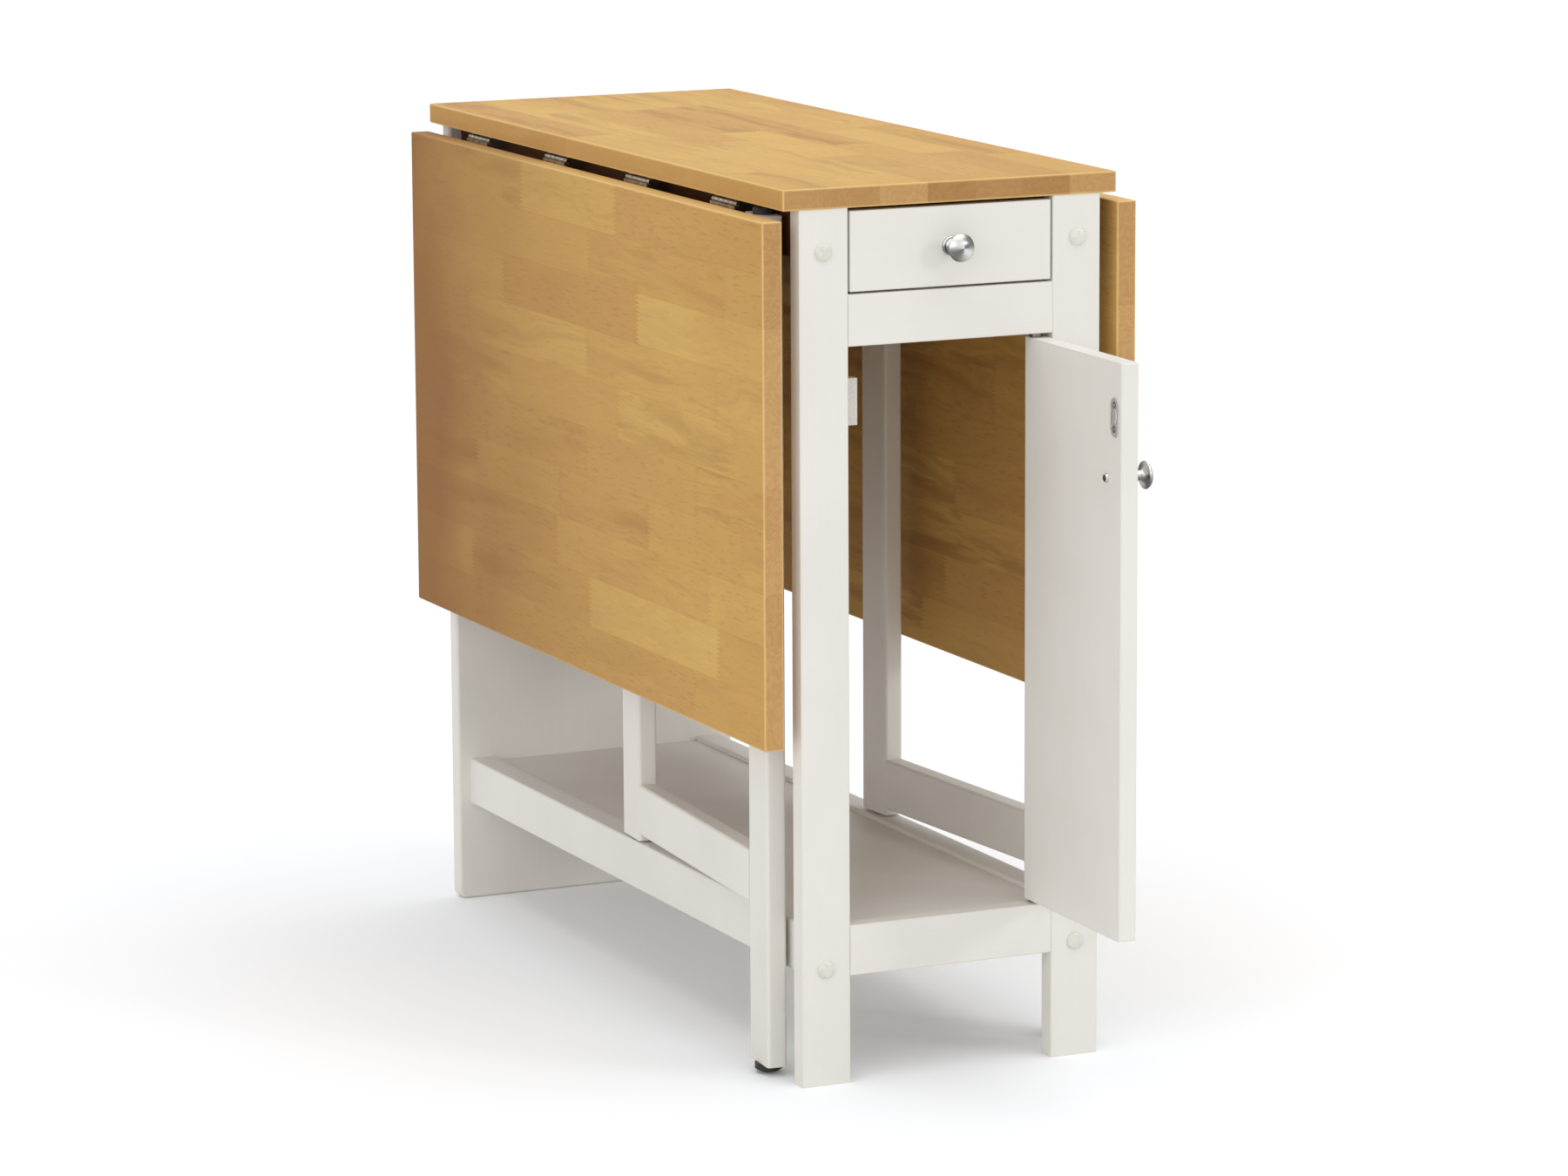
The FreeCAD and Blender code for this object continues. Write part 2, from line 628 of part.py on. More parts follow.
def back_panel():
    panel = block(-panel_half, panel_half, panel_front, back, 0, top_bottom)
    low_edges = [e for e in panel.Edges if e.BoundBox.ZMax < PANEL_CORNER_ROUND]
    foot_corners = [e for e in low_edges if e.BoundBox.YLength > PANEL_THICK / 2]
    panel = panel.makeFillet(PANEL_CORNER_ROUND, foot_corners)
    upright = [e for e in panel.Edges if e.BoundBox.ZLength > top_bottom / 2]
    panel = panel.makeFillet(PANEL_EDGE_ROUND, upright)
    return less(panel, bolt_holes + dowel_holes)


def side_rail(low, side, bore):
    rail = block(rail_in, rail_out, post_back, panel_front, low, low + RAIL_DEPTH)
    rail = on_side(ease(rail, RAIL_EDGE_ROUND, [Y_AXIS]), side)
    return less(rail, bolt_holes + dowel_holes + nut_holes + top_screw_holes + [on_side(bore, side)])


def floor_cleat():
    top = low_rail_top - FLOOR_BELOW_RAIL - FLOOR_THICK
    return block(rail_in - CLEAT_SIZE, rail_in, post_back, panel_front, top - CLEAT_SIZE, top)


def cabinet_floor():
    half = rail_in - FLOOR_CLEARANCE
    top = low_rail_top - FLOOR_BELOW_RAIL
    y0 = post_back + FLOOR_CLEARANCE
    y1 = panel_front - FLOOR_CLEARANCE
    return block(-half, half, y0, y1, top - FLOOR_THICK, top)


# Drawer runners: an upright that guides the box and a ledge that carries it
def drawer_runner(side):
    guide = box_half + RUNNER_CLEARANCE
    low = drawer_sill - RUNNER_LEDGE_DEPTH
    end = box_back + STOP_RAIL_THICK
    upright = block(guide, rail_in, post_back, end, low, up_rail_bottom + RUNNER_LAP_ON_RAIL)
    ledge = block(guide - RUNNER_LEDGE, guide, post_back, end, low, drawer_sill)
    runner = upright.fuse(ledge).removeSplitter()
    return on_side(runner, side)


def drawer_stop_rail():
    guide = box_half + RUNNER_CLEARANCE
    y0 = box_back + RUNNER_CLEARANCE
    return block(-guide, guide, y0, box_back + STOP_RAIL_THICK, drawer_sill, drawer_sill + DRAWER_BOX_HEIGHT)


# Drawer
def drawer_bottom(fit=0.0):
    half = box_half - DRAWER_WALL + DRAWER_GROOVE_DEPTH + fit
    z = box_bottom + DRAWER_BOTTOM_RAISE
    y0 = box_front - DRAWER_GROOVE_DEPTH - fit
    y1 = box_back - DRAWER_WALL + DRAWER_GROOVE_DEPTH + fit
    return block(-half, half, y0, y1, z - fit, z + DRAWER_BOTTOM_THICK + fit)


def drawer_side(side):
    wall = block(box_half - DRAWER_WALL, box_half, box_front, box_back,
                 box_bottom, box_bottom + DRAWER_BOX_HEIGHT)
    return less(on_side(wall, side), [drawer_bottom(DRAWER_FIT)])


def drawer_back():
    half = box_half - DRAWER_WALL
    wall = block(-half, half, box_back - DRAWER_WALL, box_back, box_bottom, box_bottom + DRAWER_BOX_HEIGHT)
    return less(wall, [drawer_bottom(DRAWER_FIT)])


def drawer_front():
    half = opening_half - DRAWER_GAP
    low = drawer_sill + DRAWER_GAP
    board = block(-half, half, front, box_front, low, top_bottom - DRAWER_TOP_GAP)
    board = ease(board, FRAME_EDGE_ROUND, [X_AXIS, Y_AXIS, Z_AXIS])
    screw_hole = at_drawer_knob(knob_screw(DRAWER_FRONT_THICK, SCREW_CLEARANCE))
    return less(board, [drawer_bottom(DRAWER_FIT), screw_hole])


# Knob and its screw, drawn with the board's face on z = 0 and the knob towards +Z
def knob():
    neck = KNOB_REACH - KNOB_HEAD_THICK
    rim = KNOB_REACH - KNOB_HEAD_THICK / 2
    throat = ((KNOB_STEM_RADIUS + KNOB_FLANGE_RADIUS) / 2, KNOB_FLANGE_THICK)
    waist = (KNOB_STEM_RADIUS, (KNOB_FLANGE_THICK + neck) / 2)
    under = (KNOB_RADIUS - KNOB_RIM_THICK, rim - KNOB_RIM_THICK)
    shape = spun([(0, 0), (KNOB_FLANGE_RADIUS, 0), (KNOB_FLANGE_RADIUS, KNOB_FLANGE_THICK), throat,
                  (waist, under), (KNOB_RADIUS, rim), crown(KNOB_RADIUS, KNOB_REACH - rim, rim)])
    socket = rod(KNOB_SCREW_RADIUS + SCREW_CLEARANCE, 0, 0, -OVERRUN, Z_AXIS, KNOB_SCREW_BITE + 2 * OVERRUN)
    return less(shape, [socket])


def knob_screw(board_thick, clearance=0.0):
    radius = KNOB_SCREW_RADIUS + clearance
    shank = rod(radius, 0, 0, -board_thick - clearance, Z_AXIS, board_thick + KNOB_SCREW_BITE + 2 * clearance)
    if clearance > 0:
        return shank
    head_start = -board_thick - KNOB_SCREW_HEAD_THICK
    head = rod(KNOB_SCREW_HEAD_RADIUS, 0, 0, head_start, Z_AXIS, KNOB_SCREW_HEAD_THICK)
    return shank.fuse(head).removeSplitter()


def at_drawer_knob(shape):
    middle = (drawer_sill + DRAWER_GAP + top_bottom - DRAWER_TOP_GAP) / 2
    return moved(turned(shape, X_AXIS, 90), 0, front, middle)


# Door, drawn shut and then swung open to where it rests
def door_pin(face, into_door, rail_face):
    """Pin in the door's edge with a collar. Into_door is +1 where the door lies above the pin."""
    collar_end = rail_face + into_door * DOOR_COLLAR_PLAY
    tip = rail_face - into_door * DOOR_PIN_IN_RAIL
    root = face + into_door * DOOR_PIN_IN_DOOR
    pin = rod(DOOR_PIN_RADIUS, door_x, door_y, min(tip, root), Z_AXIS, abs(root - tip))
    collar = rod(DOOR_COLLAR_RADIUS, door_x, door_y, min(face, collar_end), Z_AXIS, abs(face - collar_end))
    return pin.fuse(collar).removeSplitter()


def door_pin_bore(face, depth, up):
    start = face - OVERRUN if up else face - depth
    return rod(DOOR_PIN_RADIUS + DOOR_PIN_CLEARANCE, door_x, door_y, start, Z_AXIS, depth + OVERRUN)


def at_door_knob(shape):
    x = door_free + DOOR_KNOB_FROM_EDGE
    return moved(turned(shape, X_AXIS, 90), x, door_y - DOOR_THICK / 2, door_knob_z)


def at_strike(shape):
    """Shapes for the strike stand on z = 0; here they lie on the door's inner face."""
    return moved(turned(shape, X_AXIS, -90), door_free + STRIKE_FROM_EDGE, door_inner, strike_z)


def strike_screws(clearance=0.0):
    """Screws that point down into the door, with their heads flush in the plate."""
    screw = moved(turned(flat_screw(SCREW_LENGTH, clearance), X_AXIS, 180), 0, 0, STRIKE_THICK)
    return [moved(screw, 0, share * STRIKE_LENGTH, 0) for share in (-STRIKE_SCREW_SHARE, STRIKE_SCREW_SHARE)]


def strike_plate():
    half_width = STRIKE_WIDTH / 2
    half_length = STRIKE_LENGTH / 2
    plate = block(-half_width, half_width, -half_length, half_length, 0, STRIKE_THICK)
    corners = [e for e in plate.Edges if e.BoundBox.ZLength > STRIKE_THICK / 2]
    plate = plate.makeFillet((STRIKE_WIDTH - STRIKE_END_FLAT) / 2, corners)
    return less(plate, strike_screws(SCREW_CLEARANCE))


def door_panel():
    half = DOOR_THICK / 2
    panel = block(door_free, door_x + half, door_y - half, door_inner, door_bottom, door_top)
    upright = [e for e in panel.Edges if e.BoundBox.ZLength > DOOR_THICK]
    hinge_edges = [e for e in upright if e.BoundBox.XMin > 0]
    panel = panel.makeFillet(DOOR_HINGE_ROUND, hinge_edges)
    free_edges = [e for e in panel.Edges if e.BoundBox.XMax < DOOR_EDGE_ROUND + door_free]
    panel = panel.makeFillet(DOOR_EDGE_ROUND, free_edges)
    pin_depth = DOOR_PIN_IN_DOOR + DOOR_PIN_CLEARANCE
    bores = [door_pin_bore(door_bottom, pin_depth, True), door_pin_bore(door_top, pin_depth, False)]
    screws = [at_strike(hole) for hole in strike_screws(SCREW_CLEARANCE)]
    return less(panel, bores + screws + [at_door_knob(knob_screw(DOOR_THICK, SCREW_CLEARANCE))])


def door_pieces():
    pins = [door_pin(door_bottom, 1, low_rail_top), door_pin(door_top, -1, door_lintel)]
    pieces = {
        "door_panel": door_panel(),
        "door_knob": at_door_knob(knob()),
        "door_knob_screw": at_door_knob(knob_screw(DOOR_THICK)),
        "door_strike_plate": at_strike(strike_plate()),
        "door_strike_screws": Part.makeCompound([at_strike(screw) for screw in strike_screws()]),
        "door_pivot_pins": Part.makeCompound(pins),
    }
    return {name: turned(s, Z_AXIS, DOOR_OPEN_DEG, door_x, door_y) for name, s in pieces.items()}


# Catch behind the left post; its nose meets the strike plate when the door is shut
def catch_screws(clearance=0.0):
    reach = CATCH_DEPTH + CATCH_SCREW_BITE
    shapes = []
    for share in (-CATCH_SCREW_SHARE, CATCH_SCREW_SHARE):
        screw = turned(flat_screw(reach, clearance), X_AXIS, 90)
        shapes.append(moved(screw, -opening_half - CATCH_ON_POST / 2, post_back + CATCH_DEPTH,
                            strike_z + share * CATCH_LENGTH))
    return shapes


def door_catch():
    low = strike_z - CATCH_LENGTH / 2
    base = block(-opening_half - CATCH_ON_POST, -opening_half, post_back, post_back + CATCH_DEPTH,
                 low, low + CATCH_LENGTH)
    nose_front = max(door_inner + STRIKE_THICK + CATCH_PLAY, post_back)
    nose = block(-opening_half - OVERRUN, CATCH_NOSE - opening_half, nose_front, post_back + CATCH_DEPTH,
                 low, low + CATCH_LENGTH)
    return less(base.fuse(nose).removeSplitter(), catch_screws(SCREW_CLEARANCE))


# Every piece under its node's name
nodes = {}
nodes["top_board"] = top_board()
pin_hole_depth = DOOR_PIN_IN_RAIL + DOOR_COLLAR_PLAY
lintel_bore = door_pin_bore(door_lintel, pin_hole_depth, True)
sill_bore = door_pin_bore(low_rail_top, pin_hole_depth, False)
nodes["drawer_rail"] = cross_rail(door_lintel, DRAWER_RAIL_DEPTH, lintel_bore)
nodes["front_bottom_rail"] = cross_rail(LOW_RAIL_HEIGHT, RAIL_DEPTH, sill_bore)
nodes["back_panel"] = back_panel()
nodes["cabinet_floor"] = cabinet_floor()
nodes["floor_cleats"] = Part.makeCompound(both_sides(floor_cleat()))
nodes["drawer_stop_rail"] = drawer_stop_rail()
nodes["connector_bolts"] = Part.makeCompound(bolts)
nodes["barrel_nuts"] = Part.makeCompound(nuts)
nodes["bolt_caps"] = Part.makeCompound(bolt_caps)
nodes["frame_dowels"] = Part.makeCompound(end_dowels() + front_dowels())
nodes["top_screws"] = Part.makeCompound(top_screws)
nodes["hinge_pins"] = Part.makeCompound([s for pin in hinge_pins for s in both_sides(pin)])
nodes["top_hinge_screws"] = Part.makeCompound([s for screw in top_plate_screws for s in both_sides(screw)])
nodes["door_catch"] = door_catch()
nodes["door_catch_screws"] = Part.makeCompound(catch_screws())
nodes["drawer_front"] = drawer_front()
nodes["drawer_back"] = drawer_back()
nodes["drawer_bottom"] = drawer_bottom()
nodes["drawer_knob"] = at_drawer_knob(knob())
nodes["drawer_knob_screw"] = at_drawer_knob(knob_screw(DRAWER_FRONT_THICK))
nodes.update(door_pieces())

leaf_board = block(leaf_in, leaf_in + TOP_THICK, -top_end, top_end, leaf_top - LEAF_WIDTH, leaf_top)
leaf_board = less(ease(leaf_board, TOP_EDGE_ROUND, [X_AXIS, Y_AXIS, Z_AXIS]), leaf_plate_holes)
gate = gate_pieces()
for word, side in SIDES.items():
    nodes[f"front_{word}_post"] = front_post(side)
    nodes[f"{word}_upper_rail"] = side_rail(up_rail_bottom, side, gate_rail_bore(up_rail_bottom, 1))
    nodes[f"{word}_lower_rail"] = side_rail(LOW_RAIL_HEIGHT, side, gate_rail_bore(low_rail_top, -1))
    nodes[f"{word}_drawer_runner"] = drawer_runner(side)
    nodes[f"drawer_{word}_side"] = drawer_side(side)
    nodes[f"{word}_leaf_board"] = on_side(leaf_board, side)
    groups = {
        "top_hinge_plates": top_plates,
        "leaf_hinge_plates": leaf_plates,
        "leaf_hinge_screws": leaf_plate_screws,
    }
    for name, shapes in groups.items():
        nodes[f"{word}_{name}"] = Part.makeCompound([on_side(shape, side) for shape in shapes])
    for name, shape in gate.items():
        nodes[f"{word}_{name}"] = on_side(shape, side)

# The origin lies on the floor, under the middle of the box that holds the table with its door open
reach = Part.makeCompound(list(nodes.values())).BoundBox
to_origin = FreeCAD.Vector(0, -(reach.YMin + reach.YMax) / 2, 0)
os.makedirs("parts", exist_ok=True)
for name, shape in nodes.items():
    placed = shape.copy()
    placed.translate(to_origin)
    placed.exportStep(f"parts/{name}.step")
print(len(nodes), "nodes; moved along Y by", round(to_origin.y, 3))
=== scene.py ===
import json
import math
from types import SimpleNamespace

import bmesh
import bpy
from mathutils import Matrix, Vector


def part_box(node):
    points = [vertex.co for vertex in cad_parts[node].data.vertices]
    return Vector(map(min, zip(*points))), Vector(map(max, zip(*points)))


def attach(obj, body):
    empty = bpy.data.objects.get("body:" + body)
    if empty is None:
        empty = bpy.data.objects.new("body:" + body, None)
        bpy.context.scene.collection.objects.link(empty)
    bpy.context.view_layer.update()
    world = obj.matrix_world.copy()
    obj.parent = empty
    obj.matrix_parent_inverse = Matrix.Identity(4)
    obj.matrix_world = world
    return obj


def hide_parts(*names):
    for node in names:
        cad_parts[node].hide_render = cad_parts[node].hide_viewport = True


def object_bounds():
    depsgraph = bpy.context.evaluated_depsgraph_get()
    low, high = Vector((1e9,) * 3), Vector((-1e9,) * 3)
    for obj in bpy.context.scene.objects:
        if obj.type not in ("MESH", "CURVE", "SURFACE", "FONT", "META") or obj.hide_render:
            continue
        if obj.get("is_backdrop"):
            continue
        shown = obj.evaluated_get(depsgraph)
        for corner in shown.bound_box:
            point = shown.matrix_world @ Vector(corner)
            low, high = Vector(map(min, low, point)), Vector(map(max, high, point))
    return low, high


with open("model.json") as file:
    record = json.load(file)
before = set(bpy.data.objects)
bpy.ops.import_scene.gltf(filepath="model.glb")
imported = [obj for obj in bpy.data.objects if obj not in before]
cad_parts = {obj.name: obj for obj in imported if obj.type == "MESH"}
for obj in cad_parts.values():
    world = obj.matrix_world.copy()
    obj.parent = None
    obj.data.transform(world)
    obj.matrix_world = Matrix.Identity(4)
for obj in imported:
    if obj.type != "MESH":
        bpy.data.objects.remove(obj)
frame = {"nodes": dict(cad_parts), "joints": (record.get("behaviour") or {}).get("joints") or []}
cad_low, cad_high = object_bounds()


# Carcass: two posts, two cross rails, a back panel, two lower side rails and the cabinet's floor.
# They are sawn from rubberwood, glued and bolted together and sprayed a warm satin white, thin enough
# for the grain to stand out a little; the paint draws back from the eased edges.
class Shade:
    """A value in a material's node tree. Sums and products of such values add the nodes for them."""

    NOISE_ROUGHNESS = 0.6

    def __init__(self, tree, socket):
        self.tree = tree
        self.socket = socket

    def node(self, kind, settings, inputs, output=0):
        """Any node, with its settings and the values or links of its sockets."""
        made = self.tree.nodes.new(kind)
        for name, value in settings.items():
            setattr(made, name, value)
        for name, value in inputs.items():
            if isinstance(value, Shade):
                self.tree.links.new(value.socket, made.inputs[name])
            else:
                made.inputs[name].default_value = value
        return Shade(self.tree, made.outputs[output])

    def math(self, operation, first, second=0.0):
        return self.node("ShaderNodeMath", {"operation": operation}, {0: first, 1: second})

    def __add__(self, other):
        return self.math("ADD", self, other)

    def __sub__(self, other):
        return self.math("SUBTRACT", self, other)

    def __rsub__(self, other):
        return self.math("SUBTRACT", other, self)

    def __mul__(self, other):
        return self.math("MULTIPLY", self, other)

    def __truediv__(self, other):
        return self.math("DIVIDE", self, other)

    def __rtruediv__(self, other):
        return self.math("DIVIDE", other, self)

    def __abs__(self):
        return self.math("ABSOLUTE", self)

    __radd__ = __add__
    __rmul__ = __mul__

    def floor(self):
        return self.math("FLOOR", self)

    def least(self, other):
        return self.math("MINIMUM", self, other)

    def most(self, other):
        return self.math("MAXIMUM", self, other)

    def spread(self, start, more):
        """Start, raised by up to more where this value reaches 1."""
        return start + self * more

    def blended(self, other, share):
        """This value with a share of another in it."""
        return self * (1.0 - share) + other * share

    def fade(self, start, end):
        """1 up to start, falling smoothly to 0 at end."""
        settings = {"interpolation_type": "SMOOTHSTEP"}
        inputs = {"Value": self, "From Min": start, "From Max": end, "To Min": 1.0, "To Max": 0.0}
        return self.node("ShaderNodeMapRange", settings, inputs)

    def mix(self, first, second):
        """This value takes one colour over into another."""
        return self.node("ShaderNodeMix", {"data_type": "RGBA"}, {0: self, 6: first, 7: second}, 2)

    def noise(self, scale, detail):
        """An even random pattern at a place."""
        inputs = {"Vector": self, "Scale": scale, "Detail": detail, "Roughness": self.NOISE_ROUGHNESS}
        return self.node("ShaderNodeTexNoise", {}, inputs)

    def point(self, x, y, z):
        return self.node("ShaderNodeCombineXYZ", {}, {0: x, 1: y, 2: z})

    def axes(self):
        parts = self.node("ShaderNodeSeparateXYZ", {}, {0: self}).socket.node
        return [Shade(self.tree, parts.outputs[i]) for i in range(3)]

    def stretched(self, scales):
        """A place scaled along its axes."""
        return self.node("ShaderNodeVectorMath", {"operation": "MULTIPLY"}, {0: self, 1: scales})

    def turned(self, turn):
        """A place seen along the edges of a board that stands turned about Z."""
        return self.node("ShaderNodeMapping", {}, {"Vector": self, "Rotation": (0.0, 0.0, -turn)})

    def bump(self, strength, depth):
        return self.node("ShaderNodeBump", {}, {"Height": self, "Strength": strength, "Distance": depth})

    def feeds(self, shader, name):
        self.tree.links.new(self.socket, shader.inputs[name])


def start_material(name, constants):
    """A new material, its shader with the sockets that are even all over, and the place on the piece."""
    material = bpy.data.materials.new(name)
    material.use_nodes = True
    tree = material.node_tree
    shader = tree.nodes["Principled BSDF"]
    for socket, value in constants.items():
        shader.inputs[socket].default_value = value
    place = Shade(tree, tree.nodes.new("ShaderNodeTexCoord").outputs["Object"])
    return material, shader, place


def tone(red, green, blue):
    """A colour given as it looks on a screen, from 0 to 255, as the linear one that a shader takes."""
    shares = [value / 255 for value in (red, green, blue)]
    return [s / 12.92 if s < 0.04045 else ((s + 0.055) / 1.055) ** 2.4 for s in shares] + [1.0]


def dress(node, material):
    for slot in frame["nodes"][node].material_slots:
        slot.material = material


def corners_of(points):
    """Lowest and highest corner of the box round some points."""
    low = Vector([min(point[i] for point in points) for i in range(3)])
    high = Vector([max(point[i] for point in points) for i in range(3)])
    return low, high


def board_box(node, turn):
    """A board's box, seen along its own edges when it stands turned about Z."""
    upright = Matrix.Rotation(-turn, 3, "Z")
    return corners_of([upright @ vertex.co for vertex in frame["nodes"][node].data.vertices])


def edge_distance(place, low, high):
    """How far a point on a board's face lies from the nearest edge of that face."""
    gaps = [(value - a).least(b - value) for value, a, b in zip(place.axes(), low, high)]
    small, large = gaps[0].least(gaps[1]), gaps[0].most(gaps[1])
    return small.most(large.least(gaps[2]))


WHITE = tone(233, 230, 224)
WHITE_SHADED = tone(228, 225, 218)
WHITE_EDGE = tone(222, 216, 204)
# Lengths are in metres and patterns count to the metre. A band is where a pattern starts and ends to fade,
# a roughness its least and what a pattern adds to it, and a relief a bump's strength and depth.
PAINT_GLOSS = 0.42
PAINT_LINES = 420.0
PAINT_RUN = 9.0
PAINT_CLOUDS = 7.0
PAINT_SPECKS = 900.0
PAINT_BAND = (0.32, 0.68)
PAINT_ROUGHNESS = (0.42, 0.1)
PAINT_RELIEF = (0.08, 0.0005)
FIBRE_TONE_SHARE = 0.2
SPECK_ROUGHNESS = 0.06
SPECK_RELIEF_SHARE = 0.15
EDGE_REACH = 0.0022
EDGE_CHIPS = 60.0
EDGE_WEAR = 0.4
X_AXIS, Y_AXIS, Z_AXIS = range(3)


def painted(node, grain, turn=0.0):
    """Satin white paint on a board that may stand turned about Z; its wood runs along the axis grain."""
    material, shader, place = start_material(f"{node}_paint", {"Specular IOR Level": PAINT_GLOSS})
    on_board = place.turned(turn) if turn else place
    runs = [PAINT_RUN if i == grain else PAINT_LINES for i in range(3)]
    fibres = on_board.stretched(runs).noise(1.0, 4.0)
    clouds = place.noise(PAINT_CLOUDS, 2.0)
    specks = place.noise(PAINT_SPECKS, 1.0)
    low, high = board_box(node, turn)
    edge = edge_distance(on_board, low, high) + (place.noise(EDGE_CHIPS, 3.0) - 0.5) * EDGE_REACH
    worn = edge.fade(0.0, EDGE_REACH) * EDGE_WEAR
    body = clouds.blended(fibres, FIBRE_TONE_SHARE).fade(*PAINT_BAND).mix(WHITE, WHITE_SHADED)
    worn.mix(body, WHITE_EDGE).feeds(shader, "Base Color")
    (fibres.spread(*PAINT_ROUGHNESS) + specks * SPECK_ROUGHNESS).feeds(shader, "Roughness")
    fibres.blended(specks, SPECK_RELIEF_SHARE).bump(*PAINT_RELIEF).feeds(shader, "Normal")
    dress(node, material)


for board in ("front_left_post", "front_right_post", "back_panel"):
    painted(board, Z_AXIS)
for board in ("drawer_rail", "front_bottom_rail"):
    painted(board, X_AXIS)
for board in ("left_lower_rail", "right_lower_rail", "cabinet_floor"):
    painted(board, Y_AXIS)


# Bare wood inside the carcass: cleats under the floor, drawer runners with their stop rail, and dowels.
# They are planed and sanded pine, glued and pinned in place, and never painted.
PINE_LIGHT = tone(222, 192, 146)
PINE_DARK = tone(196, 156, 104)
PINE_RUN = 4.0
PINE_LINES = 130.0
PINE_PORES = 7.0
PINE_PORE_SHARE = 0.25
PINE_BAND = (0.35, 0.68)
PINE_ROUGHNESS = (0.52, 0.2)
PINE_RELIEF = (0.2, 0.0004)


def sanded_pine(node, grain):
    material, shader, place = start_material(f"{node}_pine", {})
    along_grain = place.stretched([PINE_RUN if i == grain else PINE_LINES for i in range(3)])
    bands = along_grain.noise(1.0, 3.0)
    pores = along_grain.noise(PINE_PORES, 2.0)
    figure = bands.blended(pores, PINE_PORE_SHARE).fade(*PINE_BAND)
    figure.mix(PINE_DARK, PINE_LIGHT).feeds(shader, "Base Color")
    pores.spread(*PINE_ROUGHNESS).feeds(shader, "Roughness")
    pores.bump(*PINE_RELIEF).feeds(shader, "Normal")
    dress(node, material)


for stick in ("floor_cleats", "left_drawer_runner", "right_drawer_runner", "frame_dowels"):
    sanded_pine(stick, Y_AXIS)
sanded_pine("drawer_stop_rail", X_AXIS)


# Connecting bolts, cross nuts and the top's screws: steel, turned or headed and then zinc-plated.
# They are mostly sunk in the wood, and the plating has a fine bright grain.
ZINC_BRIGHT = tone(206, 206, 203)
ZINC_DULL = tone(168, 169, 168)
PLATING_CLOUDS = 90.0
PLATING_SCRATCHES = (1500.0, 120.0, 1500.0)
SCRATCH_SHARE = 0.4
PLATING_BAND = (0.35, 0.65)
PLATING_ROUGHNESS = (0.24, 0.14)
PLATING_RELIEF = (0.08, 0.0001)


def plated_steel(name, bright, dull):
    material, shader, place = start_material(name, {"Metallic": 1.0})
    clouds = place.noise(PLATING_CLOUDS, 3.0)
    scratches = place.stretched(PLATING_SCRATCHES).noise(1.0, 2.0)
    worn = clouds.blended(scratches, SCRATCH_SHARE).fade(*PLATING_BAND)
    worn.mix(bright, dull).feeds(shader, "Base Color")
    clouds.spread(*PLATING_ROUGHNESS).feeds(shader, "Roughness")
    scratches.bump(*PLATING_RELIEF).feeds(shader, "Normal")
    return material


zinc_plate = plated_steel("zinc_plate", ZINC_BRIGHT, ZINC_DULL)
for fixing in ("connector_bolts", "barrel_nuts", "top_screws"):
    dress(fixing, zinc_plate)


# Bolt caps: small domed buttons moulded in cream plastic.
# Each has a short rim and a plug that is pressed into the well over a bolt's head.
CAP_RIM = 0.0006
CAP_SEGMENTS = 36
CAP_RINGS = 18
CAP_FLATNESS = 2.2
JUST_BELOW_MIDDLE = -0.01
CAP_LIGHT = tone(226, 223, 214)
CAP_DARK = tone(214, 210, 199)
CAP_COAT = 0.25
CAP_MOTTLE = 260.0
CAP_SPECKS = 1200.0
CAP_BAND = (0.3, 0.7)
CAP_ROUGHNESS = (0.3, 0.14)
CAP_RELIEF = (0.06, 0.0002)
SHARP_ANGLE = math.radians(38)
SAME_POINT = 1e-6


def islands(node):
    """The box of each separate solid in a node."""
    solid = bmesh.new()
    solid.from_mesh(frame["nodes"][node].data)
    bmesh.ops.remove_doubles(solid, verts=solid.verts, dist=SAME_POINT)
    unseen = set(solid.verts)
    boxes = []
    while unseen:
        reached = [unseen.pop()]
        for vertex in reached:
            near = {edge.other_vert(vertex) for edge in vertex.link_edges} & unseen
            unseen -= near
            reached.extend(near)
        boxes.append(corners_of([vertex.co for vertex in reached]))
    solid.free()
    return sorted(boxes, key=lambda box: tuple(box[0]))


